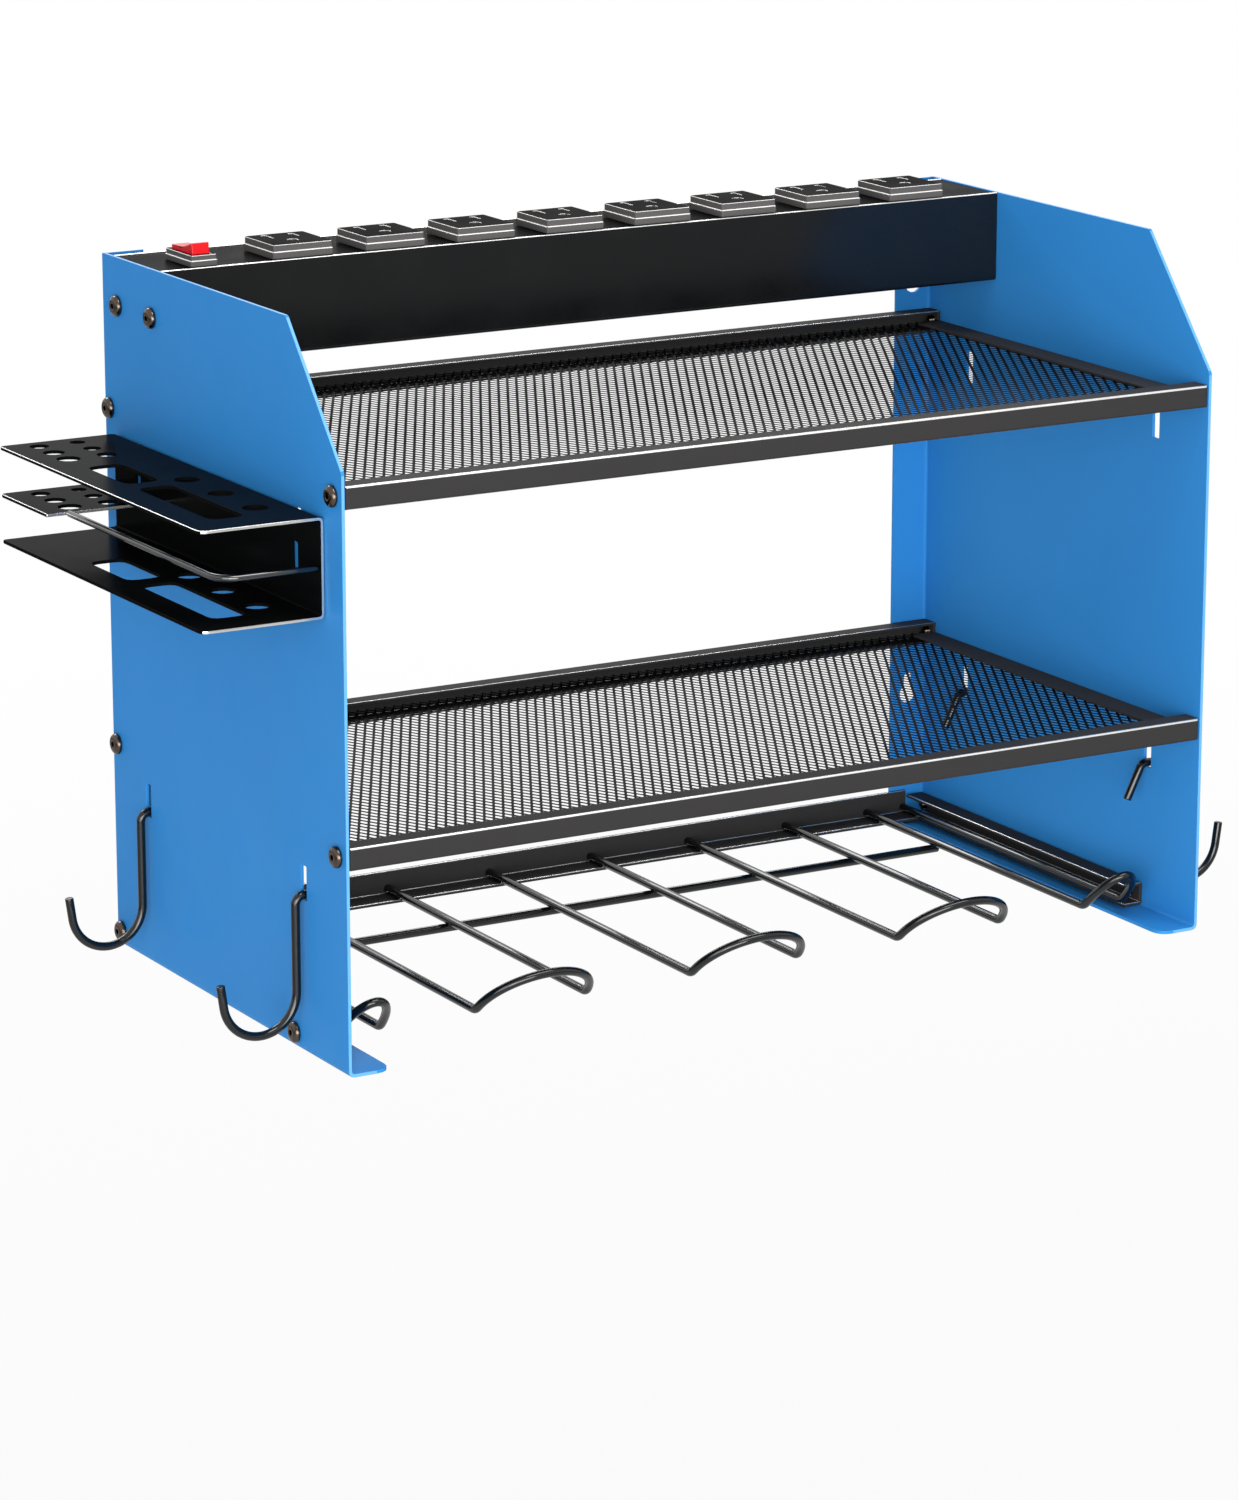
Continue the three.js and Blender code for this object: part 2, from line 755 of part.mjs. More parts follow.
// Drill rack side rail: a C section that opens towards the fingers, bolted through its web.
function drillRail(hand) {
  const outer = hand * fitX;
  const lip = hand * (fitX - rack.railWidth);
  const web = hand * (fitX - rack.railSheet);
  const top = rackFoot + rack.railHeight;
  const section = rounded([
    [lip, rackFoot],
    [outer, rackFoot, rack.railSheet],
    [outer, top, rack.railSheet],
    [lip, top],
    [lip, top - rack.railSheet],
    [web, top - rack.railSheet],
    [web, rackFoot + rack.railSheet],
    [lip, rackFoot + rack.railSheet],
  ]);
  const holes = Object.values(rackBolts).map(([y, z]) => crossHole(y, z, bolt.hole, hand * faceX, lip));
  return cut(prism(section, "y", -rack.railFront, -rack.railRear), holes);
}

// The fingers lie on the rear bar's flat leg, and the cross wire runs under them.
const barHalf = fitX - rack.railWidth - clearance;
const barFoot = rackFoot + rack.railSheet - rack.barSheet / 2;
const fingerZ = barFoot + rack.barSheet + clearance + wireRadius;
const fingerEnd = rearY - rack.barSheet - clearance;

function rearBar() {
  const front = rearY - rack.barDepth;
  const shape = rounded([
    [rearY, barFoot, rack.barSheet],
    [front, barFoot],
    [front, barFoot + rack.barSheet],
    [rearY - rack.barSheet, barFoot + rack.barSheet],
    [rearY - rack.barSheet, barFoot + rack.barHeight],
    [rearY, barFoot + rack.barHeight],
  ]);
  return prism(shape, "x", -barHalf, barHalf);
}

// Finger: a hairpin whose legs run forward, bend up at the knee and meet in a half ellipse.
function drillFinger(left, right) {
  const middle = (left + right) / 2;
  const reach = (right - left) / 2;
  const tilt = THREE.MathUtils.degToRad(rack.archTilt);
  const rise = new THREE.Vector3(0, -Math.cos(tilt), Math.sin(tilt));
  const knee = (x) => new THREE.Vector3(x, -rack.fingerFront, fingerZ);
  const archSteps = 12;
  const arch = Array.from({ length: archSteps - 1 }, (_, i) => {
    const turn = (Math.PI * (i + 1)) / archSteps;
    const place = new THREE.Vector3(middle - reach * Math.cos(turn), -rack.fingerFront, fingerZ);
    return place.addScaledVector(rise, rack.archHeight * Math.sin(turn));
  });
  const leg = (x, after) => {
    const corners = [
      { at: new THREE.Vector3(x, fingerEnd, fingerZ) },
      { at: knee(x), radius: rack.kneeRadius },
      { at: after },
    ];
    return bent(corners, 3).slice(0, -1);
  };
  const points = [...leg(left, arch[0]), ...arch, ...leg(right, arch.at(-1)).reverse()];
  return wire(points, wireRadius);
}

function crossWire() {
  const z = fingerZ - 2 * wireRadius - clearance;
  const reach = barHalf - rack.edgeWidth - wireRadius + rack.crossReach;
  const end = (x) => new THREE.Vector3(x, -rack.crossInset, z);
  return wire([end(-reach), end(reach)], wireRadius);
}

// Side rack: one sheet bent to a C, with the tool holes in both shelves and two tabs lanced from its back.
const sideFront = side.frontInset - overall.depth;
const sideTop = upperSlotFoot + side.topRise;
const sideBottom = upperSlotFoot - side.bottomDrop;
const sideMiddle = upperSlotFoot - side.middleDrop;
const bitShelfFront = -side.rear - side.bitShelf;
// A place between the rack's front and its bit shelf.
const sideAlong = (share) => sideFront + share * (bitShelfFront - sideFront);
const sideFace = -faceX - clearance; // face of the side rack that lies on the left panel
const sideBack = sideFace - side.sheet;
const sideEdge = sideFace - side.reach;
const tabPlaces = [frontSlotY, rearSlotY];

function driverHoles(low, high) {
  return side.driverShares.map((share) =>
    prism(ring(sideFace - side.driverReach, sideAlong(share), side.driverRadius), "z", low, high),
  );
}

function plierSlots(low, high) {
  return side.plierShares.map(([from, to]) => {
    const [x, half] = [sideFace - side.plierReach, side.plierWidth / 2];
    const shape = rectangle(x - half, x + half, sideAlong(from), sideAlong(to), side.plierCorner);
    return prism(shape, "z", low, high, 3);
  });
}

function bitHoles(low, high) {
  return side.bitReaches.flatMap((reach, row) =>
    side.bitRadii[row].map((radius, i) => {
      const y = -side.rear - side.bitInset - i * side.bitPitch;
      return prism(ring(sideFace - reach, y, radius), "z", low, high);
    }),
  );
}

function sideRackShell() {
  const section = rounded([
    [sideEdge, sideTop],
    [sideFace, sideTop, side.bend],
    [sideFace, sideBottom - side.sheet, side.bend],
    [sideEdge, sideBottom - side.sheet],
    [sideEdge, sideBottom],
    [sideBack, sideBottom, side.bend - side.sheet],
    [sideBack, sideTop - side.sheet, side.bend - side.sheet],
    [sideEdge, sideTop - side.sheet],
  ]);
  const plan = rounded([
    [sideFace, sideFront],
    [sideEdge, sideFront, side.corner],
    [sideEdge, -side.rear, side.corner / 2],
    [sideFace, -side.rear],
  ]);
  const sheet = prism(section, "y", sideFront, -side.rear).intersect(
    prism(plan, "z", sideBottom - overrun, sideTop + overrun),
  );
  const tabFoot = upperSlotFoot + side.tabRise;
  const tabTop = tabFoot + side.sheet;
  const windows = tabPlaces.map((y) => {
    const half = side.windowWidth / 2;
    const low = tabFoot - side.windowDrop;
    return block(sideBack - overrun, sideFace + overrun, y - half, y + half, low, tabFoot);
  });
  const tabs = tabPlaces.map((y) => {
    const half = side.tabWidth / 2;
    const end = sideFace + clearance + panel.sheet + side.tabReach;
    const arm = block(sideBack, end, y - half, y + half, tabFoot, tabTop);
    return arm.add(block(end - side.sheet, end, y - half, y + half, tabTop - side.tabDrop, tabTop));
  });
  const holes = [
    ...driverHoles(sideBottom - overrun, sideTop + overrun),
    ...plierSlots(sideBottom - overrun, sideTop + overrun),
    ...bitHoles(sideTop - overrun, sideTop + overrun),
  ];
  return join(cut(sheet, [...windows, ...holes]), ...tabs);
}

function bitShelf() {
  const plan = rounded([
    [sideBack - clearance, bitShelfFront],
    [sideEdge, bitShelfFront],
    [sideEdge, -side.rear, side.corner / 2],
    [sideBack - clearance, -side.rear],
  ]);
  const low = sideMiddle - side.sheet;
  return cut(prism(plan, "z", low, sideMiddle), bitHoles(low - overrun, sideMiddle + overrun));
}

function sideWire() {
  const y = side.wireInset + sideFront;
  const z = sideMiddle - side.sheet / 2;
  const x = sideFace - side.wireReach;
  const corners = [
    { at: new THREE.Vector3(sideBack - clearance, y, z) },
    { at: new THREE.Vector3(x, y, z), radius: side.wireBend },
    { at: new THREE.Vector3(x, bitShelfFront - clearance, z) },
  ];
  return wire(bent(corners, 5), side.wireRadius);
}

// J hook: an inner leg behind the panel, a shoulder through the slot, a long outer leg, a half-round cup and
// a short tip that leans out.
function panelHook(hand, y) {
  const shoulderZ = slot.lowerFoot + clearance + wireRadius;
  const legX = faceX + hook.standoff;
  const cup = hook.cupRadius;
  const at = (x, z) => new THREE.Vector3(hand * x, y, z);
  const lean = THREE.MathUtils.degToRad(hook.innerLean);
  const tipLean = THREE.MathUtils.degToRad(hook.tipLean);
  const innerTop = innerX - hook.innerOut;
  const [run, fall] = [Math.sin(lean), Math.cos(lean)].map((part) => part * hook.innerLength);
  const innerEnd = at(innerTop - run, shoulderZ - fall);
  const cupSteps = 9;
  const cupPoints = Array.from({ length: cupSteps + 1 }, (_, i) => {
    const turn = ((Math.PI - tipLean) * i) / cupSteps;
    return at(legX + cup - cup * Math.cos(turn), hook.cupHeight - cup * Math.sin(turn));
  });
  const last = cupPoints.at(-1);
  const tip = last.clone().add(at(hook.tipHeight * Math.sin(tipLean), hook.tipHeight).setY(0));
  const corners = [
    { at: innerEnd },
    { at: at(innerTop, shoulderZ), radius: hook.shoulderRadius },
    { at: at(legX, shoulderZ), radius: hook.shoulderRadius },
    { at: cupPoints[0] },
  ];
  return wire([...bent(corners, 4), ...cupPoints.slice(1), tip], wireRadius);
}

// The organizer, piece by piece.
const hands = { left: -1, right: 1 };
for (const [name, hand] of Object.entries(hands)) {
  add(`${name}_side_panel`, sidePanel(hand), material.panelBlue);
}

const shelves = { upper: upperShelfTop, lower: shelf.lowerTop };
for (const [level, top] of Object.entries(shelves)) {
  const places = shelfBolts(top);
  add(`${level}_shelf_front_rail`, shelfRail(-overall.depth, 1, top, places.front), material.blackSheet);
  add(`${level}_shelf_rear_rail`, shelfRail(rearY, -1, top, places.rear), material.blackSheet);
  for (const [name, hand] of Object.entries(hands)) {
    add(`${level}_shelf_${name}_rim`, shelfRim(hand, top), material.blackSheet);
  }
  add(`${level}_shelf_mesh`, shelfMesh(top), material.blackSheet);
}

add("power_strip_tray", powerTray(), material.blackSheet);
add("power_strip_case", stripCase(), material.stripBlack);
for (let i = 0; i < outlet.count; i += 1) add(`outlet_${i + 1}`, outletBlock(i), material.outletGrey);
add("switch_frame", switchFrame(), material.outletGrey);
add("switch_rocker", switchRocker(), material.rockerRed);
add("cord_gland", cordGland(), material.stripBlack);

for (const [name, hand] of Object.entries(hands)) {
  add(`drill_rack_${name}_rail`, drillRail(hand), material.blackSheet);
}
add("drill_rack_rear_bar", rearBar(), material.blackSheet);
add("drill_rack_cross_wire", crossWire(), material.blackWire);
const outermost = barHalf - wireRadius;
const half = rack.fullWidth / 2 - wireRadius;
const pitch = outermost - rack.edgeWidth - rack.edgeGap - half;
const fingers = [
  [-outermost, rack.edgeWidth - outermost],
  ...[-1, 0, 1].map((place) => [place * pitch - half, place * pitch + half]),
  [outermost - rack.edgeWidth, outermost],
];
fingers.forEach(([left, right], i) => {
  add(`drill_finger_${i + 1}`, drillFinger(left, right), material.blackWire);
});

add("side_rack_shell", sideRackShell(), material.blackSheet);
add("side_rack_bit_shelf", bitShelf(), material.blackSheet);
add("side_rack_wire", sideWire(), material.blackWire);

for (const [name, hand] of Object.entries(hands)) {
  add(`${name}_front_hook`, panelHook(hand, frontSlotY), material.blackWire);
  add(`${name}_rear_hook`, panelHook(hand, rearSlotY), material.blackWire);
}

for (const [set, places] of Object.entries(boltSets)) {
  for (const [end, place] of Object.entries(places)) {
    for (const [name, hand] of Object.entries(hands)) {
      add(`${set}_bolt_${name}_${end}`, panelBolt(hand, place), material.boltSteel);
    }
  }
}

export default organizer;
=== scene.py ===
"""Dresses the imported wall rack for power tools: fine pieces, finishes, light, floor and camera.

Sizes in the dataclasses are millimetres. Meshes are written in metres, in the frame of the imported
model: X runs to the right along the wall, Y into the wall and Z up.
"""

import json
import logging
import math
from collections.abc import Mapping, Sequence
from dataclasses import dataclass, field
from enum import Enum
from typing import Any

import bmesh
import bpy
import numpy as np
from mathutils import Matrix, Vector

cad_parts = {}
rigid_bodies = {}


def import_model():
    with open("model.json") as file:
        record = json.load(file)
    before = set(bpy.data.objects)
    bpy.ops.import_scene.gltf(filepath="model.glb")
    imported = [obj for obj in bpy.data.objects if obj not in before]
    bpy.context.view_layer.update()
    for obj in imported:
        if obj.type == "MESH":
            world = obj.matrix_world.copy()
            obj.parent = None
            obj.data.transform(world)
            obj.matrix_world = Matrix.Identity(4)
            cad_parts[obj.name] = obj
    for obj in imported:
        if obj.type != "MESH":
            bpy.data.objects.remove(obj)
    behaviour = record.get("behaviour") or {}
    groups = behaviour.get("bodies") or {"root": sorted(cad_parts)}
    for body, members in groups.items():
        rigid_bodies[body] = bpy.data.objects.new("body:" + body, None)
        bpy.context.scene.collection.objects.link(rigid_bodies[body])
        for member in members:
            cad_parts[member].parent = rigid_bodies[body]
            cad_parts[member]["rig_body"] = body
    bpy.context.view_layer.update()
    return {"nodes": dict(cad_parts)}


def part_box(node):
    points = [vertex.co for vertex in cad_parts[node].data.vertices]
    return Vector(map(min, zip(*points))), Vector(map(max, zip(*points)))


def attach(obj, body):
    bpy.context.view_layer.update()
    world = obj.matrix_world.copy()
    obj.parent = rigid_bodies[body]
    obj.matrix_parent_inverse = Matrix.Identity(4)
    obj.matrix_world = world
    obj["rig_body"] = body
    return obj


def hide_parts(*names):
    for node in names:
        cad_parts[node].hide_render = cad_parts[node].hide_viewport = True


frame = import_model()

log = logging.getLogger("organizer")

Tree = bpy.types.NodeTree
Socket = bpy.types.NodeSocket
Way = tuple[float, float, float]

MM = 0.001
TURN = 2 * np.pi

# Edges that turn by more degrees than this stay sharp in the shading of each kind of piece.
SHEET_SHARP = 50.0
ROUND_SHARP = 35.0
WIRE_SHARP = 60.0

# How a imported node's triangles become whole faces: corners this near, in metres, are one, and so
# are faces that turn by fewer degrees than this.
MERGE_REACH = 2e-6
FLAT_TURN = 0.6

# A face whose normal rises further than this looks straight up; on the outlets such faces take the
# painted shade of their tops.
UPWARD = 0.99

# How much more a large face counts than a small one where a corner's shading is worked out.
LARGE_FACE_WEIGHT = 80

# Noise seldom leaves this range, which is stretched over all of what it steers.
NOISE_LOW, NOISE_HIGH = 0.3, 0.7


class Axis(Enum):
    """The axis that a round piece is turned about: two directions across it, and its own."""

    X = ((0, 1, 0), (0, 0, 1), (1, 0, 0))
    Z = ((1, 0, 0), (0, 1, 0), (0, 0, 1))


class Hand(Enum):
    """Left or right side of the organizer, as the sign of X."""

    LEFT = -1
    RIGHT = 1

    @property
    def word(self) -> str:
        """The side's name, as the nodes use it."""
        return self.name.lower()


# Colours, shader nodes and objects


def linear(code: str) -> tuple[float, float, float, float]:
    """Turns an sRGB hex colour into linear RGBA.

    Args:
        code: The colour as "#rrggbb".

    Returns:
        Red, green, blue and alpha, linear, from 0 to 1.
    """
    value = np.array([int(code[i : i + 2], 16) for i in (1, 3, 5)]) / 255
    curve = np.where(value <= 0.04045, value / 12.92, ((value + 0.055) / 1.055) ** 2.4)
    return (*curve.tolist(), 1.0)


def add_node(
    tree: Tree,
    kind: str,
    settings: Mapping[str, Any] | None = None,
    inputs: Mapping[str | int, Any] | None = None,
) -> bpy.types.Node:
    """Adds a node, sets its properties, and sets or links its inputs.

    Args:
        tree: The node tree.
        kind: The node's type name.
        settings: Properties by name.
        inputs: Values or output sockets, by the input's name or number.

    Returns:
        The new node.
    """
    node = tree.nodes.new(kind)
    for key, value in (settings or {}).items():
        setattr(node, key, value)
    for key, value in (inputs or {}).items():
        if isinstance(value, Socket):
            tree.links.new(value, node.inputs[key])
        else:
            node.inputs[key].default_value = value
    return node


def empty_tree(owner: bpy.types.Material | bpy.types.World) -> Tree:
    """Switches on the nodes of a material or world and clears them.

    Args:
        owner: The material or world.

    Returns:
        Its node tree.
    """
    owner.use_nodes = True
    owner.node_tree.nodes.clear()
    return owner.node_tree


def blobs(place: Socket, width: float, octaves: int) -> dict[str, Any]:
    """Inputs of a noise whose blobs are about as many millimetres wide as given."""
    return {"Vector": place, "Scale": 1 / (width * MM), "Detail": octaves, "Roughness": 0.5}


def add_object(name: str, data: bpy.types.ID) -> bpy.types.Object:
    """Makes an object of a mesh, lamp or camera and links it to the scene.

    Args:
        name: The object's name.
        data: The mesh, lamp or camera.

    Returns:
        The object.
    """
    made = bpy.data.objects.new(name, data)
    bpy.context.scene.collection.objects.link(made)
    return made


# Finishes


@dataclass(frozen=True)
class Finish:
    """A surface finish: a base colour and gloss that wander a little, and a relief in two sizes.

    The mottle is the slow change of colour, the smudge is the slow change of gloss, and the relief
    is given as the height and the width of its swellings (peel) and of its grain (grit). Octaves
    are the finer layers of each one's noise.
    """

    name: str
    colour: str
    roughness: float
    metallic: float = 0.0
    ior: float = 1.5
    specular: float = 0.5
    mottle: float = 0.03
    mottle_width: float = 45.0
    mottle_octaves: int = 3
    smudge: float = 0.05
    smudge_width: float = 28.0
    smudge_octaves: int = 4
    peel_height: float = 0.004
    peel_width: float = 2.4
    peel_octaves: int = 1
    grit_height: float = 0.0
    grit_width: float = 0.5
    grit_octaves: int = 2

    def tint(self, tree: Tree, place: Socket) -> Socket:
        """Makes the base colour, a little darker and lighter from place to place.

        Args:
            tree: The material's node tree.
            place: Object coordinates.

        Returns:
            The colour.
        """
        base = np.array(linear(self.colour)[:3])
        dark, light = [(*(base * (1 + sign * self.mottle)).tolist(), 1.0) for sign in (-1, 1)]
        wander = blobs(place, self.mottle_width, self.mottle_octaves)
        share = add_node(tree, "ShaderNodeTexNoise", None, wander).outputs[0]
        inputs = {0: share, 6: dark, 7: light}
        return add_node(tree, "ShaderNodeMix", {"data_type": "RGBA"}, inputs).outputs[2]

    def gloss(self, tree: Tree, place: Socket) -> Socket:
        """Makes the roughness, which wanders by the smudge about its middle value.

        Args:
            tree: The material's node tree.
            place: Object coordinates.

        Returns:
            The roughness.
        """
        wander = blobs(place, self.smudge_width, self.smudge_octaves)
        share = add_node(tree, "ShaderNodeTexNoise", None, wander).outputs[0]
        inputs = {
            "Value": share, "From Min": NOISE_LOW, "From Max": NOISE_HIGH,
            "To Min": self.roughness - self.smudge, "To Max": self.roughness + self.smudge,
        }
        return add_node(tree, "ShaderNodeMapRange", None, inputs).outputs[0]

    def relief(self, tree: Tree, place: Socket) -> Socket | None:
        """Makes the bump of the peel and, on top of it, of the grit.

        Args:
            tree: The material's node tree.
            place: Object coordinates.

        Returns:
            The normal, or None where both are flat.
        """
        peel = (self.peel_height, self.peel_width, self.peel_octaves)
        grit = (self.grit_height, self.grit_width, self.grit_octaves)
        normal = None
        for height, width, octaves in (peel, grit):
            if height > 0:
                wander = blobs(place, width, octaves)
                wave = add_node(tree, "ShaderNodeTexNoise", None, wander).outputs[0]
                inputs = {"Distance": height * MM, "Height": wave}
                if normal is not None:
                    inputs["Normal"] = normal
                normal = add_node(tree, "ShaderNodeBump", None, inputs).outputs[0]
        return normal

    def material(self) -> bpy.types.Material:
        """Builds the finish once and gives it again on later calls.

        Returns:
            The Blender material.
        """
        if self.name in bpy.data.materials:
            return bpy.data.materials[self.name]
        made = bpy.data.materials.new(self.name)
        tree = empty_tree(made)
        made.diffuse_color = linear(self.colour)
        place = add_node(tree, "ShaderNodeTexCoord").outputs["Object"]
        inputs = {
            "Base Color": self.tint(tree, place),
            "Roughness": self.gloss(tree, place),
            "Metallic": self.metallic,
            "IOR": self.ior,
            "Specular IOR Level": self.specular,
        }
        normal = self.relief(tree, place)
        if normal is not None:
            inputs["Normal"] = normal
        shader = add_node(tree, "ShaderNodeBsdfPrincipled", None, inputs)
        add_node(tree, "ShaderNodeOutputMaterial", None, {"Surface": shader.outputs[0]})
        return made


# Polyester powder coat on steel sheet, sprayed dry and baked: an even satin, a soft orange peel.
POWDER_BLUE = Finish(
    "powder_coat_blue", "#2e82c8", 0.45,
    specular=0.1, peel_height=0.006, grit_height=0.0015, grit_width=0.6,
)
# Painted highlight: a paler, glossier blue on the panels' narrow edge faces that look forward or up,
# where light catches them.
POWDER_BLUE_PAINTED_HIGHLIGHT = Finish("powder_coat_blue_edge", "#5fa0dc", 0.35, specular=0.2, peel_height=0.0)
# Black polyester powder coat of the rails and rims: a dull black that is dark grey in the light.
POWDER_BLACK = Finish(
    "powder_coat_black", "#333232", 0.5,
    specular=0.02, peel_height=0.005, grit_height=0.0012, grit_width=0.6,
)
# Black gloss coat of the tray: flows out to near mirror with a faint peel.
GLOSS_BLACK = Finish(
    "gloss_coat_black", "#0b0c0d", 0.16, smudge=0.04, peel_height=0.004, peel_width=4.0
)
# Black gloss coat of the side rack, thinner and deeper in tone than the tray's.
RACK_BLACK = Finish(
    "gloss_coat_rack", "#0a0b0c", 0.2, specular=0.004, peel_height=0.003, peel_width=4.0
)
# Painted highlight: a pale, bright metal on the narrow edge and fold faces of black sheet that look up
# or forward, where light catches them; it shows as thin white lines.
BLACK_PAINTED_HIGHLIGHT = Finish("black_sheet_edge", "#dededc", 0.25, metallic=0.9, peel_height=0.0)
# Expanded steel mesh, dipped and stoved: a dull deep black.
MESH_BLACK = Finish(
    "stoved_black_mesh", "#070708", 0.5, specular=0.02, peel_height=0.0, mottle_width=12.0
)
# Bent steel wire in gloss black enamel, which draws the lamps out to thin bright lines.
WIRE_BLACK = Finish(
    "wire_enamel_black", "#08090a", 0.14, smudge=0.04, smudge_width=14.0, peel_height=0.0
)
# The side rack's wire, enamelled more thickly, so that it mirrors the light more brightly.
RACK_WIRE = Finish(
    "wire_enamel_rack", "#08090a", 0.12,
    specular=1.0, smudge=0.03, smudge_width=14.0, peel_height=0.0,
)
# Injection-moulded flame-retardant ABS of the strip's case: smooth and black.
CASE_BLACK = Finish(
    "moulded_abs_black", "#0d0d0e", 0.32,
    specular=0.004, peel_height=0.002, grit_height=0.001, grit_width=0.4,
)
# Moulded polycarbonate of the outlets: dark grey with a fine spark-eroded grain.
OUTLET_GREY = Finish(
    "moulded_polycarbonate_grey", "#565454", 0.45,
    specular=0.05, grit_height=0.004, grit_width=0.45,
)
# Painted shade: the outlets' upward faces are almost black, darker than the grey flanks, as if little
# light fell on them from above; they are also smoother.
OUTLET_PAINTED_SHADE_TOP = Finish(
    "moulded_polycarbonate_face", "#111112", 0.3, specular=0.001, peel_height=0.002
)
# Painted highlight: thin pale lines on the outlets' narrow edge faces that look up, where light
# catches them.
OUTLET_PAINTED_HIGHLIGHT = Finish("moulded_polycarbonate_edge", "#dcdad7", 0.3, peel_height=0.0)
# Polished red ABS of the rocker: a clear, even red.
ROCKER_RED = Finish(
    "polished_abs_red", "#d0141c", 0.2, specular=0.2, peel_height=0.001, peel_width=3.0
)
# Dark nickel plate on turned steel bolts: a brownish metal with a polished dome.
NICKEL_DARK = Finish(
    "dark_nickel_plate", "#594f47", 0.18,
    metallic=1.0, mottle=0.08, mottle_width=3.0, peel_height=0.0,
)


# Surfaces


def grid_quads(rows: int, columns: int, closed: bool) -> np.ndarray:
    """The quads between neighbouring rows of a grid of points that is numbered row by row.

    Args:
        rows: Number of rows.
        columns: Points in a row.
        closed: Whether each row's last point joins its first.

    Returns:
        An array of four point numbers per quad.
    """
    spans = columns if closed else columns - 1
    row, column = np.meshgrid(np.arange(rows - 1), np.arange(spans), indexing="ij")
    after = (column + 1) % columns
    here, above = row * columns, (row + 1) * columns
    corners = (here + column, here + after, above + after, above + column)
    return np.stack(corners, -1).reshape(-1, 4)


def put_mesh(
    name: str, points: np.ndarray, faces: Sequence[Sequence[int]], sharp: float = ROUND_SHARP
) -> bpy.types.Object:
    """Makes a closed mesh object from points in millimetres, with its faces turned outwards.

    Args:
        name: The piece's name.
        points: Points in millimetres.
        faces: Point numbers of each face.
        sharp: Edges that turn by more degrees than this stay sharp in the shading.

    Returns:
        The object, linked to the scene.
    """
    mesh = bpy.data.meshes.new(name)
    mesh.from_pydata(points * MM, [], faces)
    work = bmesh.new()
    work.from_mesh(mesh)
    bmesh.ops.recalc_face_normals(work, faces=work.faces)
    work.to_mesh(mesh)
    work.free()
    mesh.shade_smooth()
    mesh.set_sharp_from_angle(angle=math.radians(sharp))
    return add_object(name, mesh)


def skin(
    name: str, rings: np.ndarray, sharp: float = ROUND_SHARP, hollow: bool = False
) -> bpy.types.Object:
    """Skins a stack of closed rings of points.

    Args:
        name: The piece's name.
        rings: Points in millimetres, as rings × points × 3.
        sharp: See put_mesh.
        hollow: Whether the last ring joins the first, in place of a flat face at both ends.

    Returns:
        The object.
    """
    count, sides = rings.shape[:2]
    if hollow:
        faces = (grid_quads(count + 1, sides, closed=True) % (count * sides)).tolist()
    else:
        faces = grid_quads(count, sides, closed=True).tolist()
        faces += [list(range(sides)), list(range((count - 1) * sides, count * sides))]
    return put_mesh(name, rings.reshape(-1, 3), faces, sharp)


def unit(vectors: np.ndarray) -> np.ndarray:
    """Scales each vector of an array to length 1."""
    return vectors / np.linalg.norm(vectors, axis=-1, keepdims=True)


def tube(
    name: str,
    path: np.ndarray,
    radius: float,
    across: Way,
    sides: int = 24,
    ease: float = 0.5,
    ease_steps: int = 4,
) -> bpy.types.Object:
    """A round wire along a path.

    A ring is the path's point plus the radius times cos t of one direction across the wire and
    sin t of another. The first is the given direction made square to the wire, and the second is
    square to both. At each end the radius falls in a quarter round, as on a wire whose cut is
    dressed.

    Args:
        name: The piece's name.
        path: Points of the centre line in millimetres.
        radius: Radius of the wire in millimetres.
        across: A direction that the wire never runs along.
        sides: Points in a ring.
        ease: Radius of the quarter round at the ends in millimetres.
        ease_steps: Rings in a quarter round.

    Returns:
        The object.
    """
    turn = np.linspace(np.pi / 2, 0, ease_steps)
    inset, less = ease * (1 - np.sin(turn)), ease * (1 - np.cos(turn))
    start, end = unit(path[1] - path[0]), unit(path[-2] - path[-1])
    head = path[0] + inset[:, None] * start
    tail = (path[-1] + inset[:, None] * end)[::-1]
    points = np.concatenate([head, path[1:-1], tail])
    radii = radius - np.concatenate([less, np.zeros(len(path) - 2), less[::-1]])
    steps = unit(np.diff(points, axis=0))
    along = unit(np.concatenate([steps[:1], steps[1:] + steps[:-1], steps[-1:]]))
    flat = np.asarray(across, float)
    first = unit(flat - (along @ flat)[:, None] * along)
    second = np.cross(along, first)
    t = np.linspace(0, TURN, sides, endpoint=False)[None, :, None]
    round_way = np.cos(t) * first[:, None] + np.sin(t) * second[:, None]
    return skin(name, points[:, None] + radii[:, None, None] * round_way, WIRE_SHARP)


def bent_path(corners: np.ndarray, radii: Sequence[float], steps: int = 10) -> np.ndarray:
    """Straight runs between corners, with a circular bend at each inner corner.

    A bend starts the radius times the tangent of half its angle before the corner. Its points are
    the centre, less the radius times cos t towards the inside, plus the radius times sin t along
    the wire.

    Args:
        corners: Corner points in millimetres.
        radii: Bend radius at each inner corner.
        steps: Steps in a bend.

    Returns:
        The points of the path.
    """
    runs = unit(np.diff(corners, axis=0))
    points = [corners[:1]]
    for corner, into, out, radius in zip(corners[1:-1], runs[:-1], runs[1:], radii, strict=True):
        angle = math.acos(float(np.clip(into @ out, -1, 1)))
        inward = unit(out - into * math.cos(angle))
        start = corner - into * radius * math.tan(angle / 2)
        t = np.linspace(0, angle, steps + 1)[:, None]
        points.append(
            start + inward * radius - radius * np.cos(t) * inward + radius * np.sin(t) * into
        )
    points.append(corners[-1:])
    return np.concatenate(points)


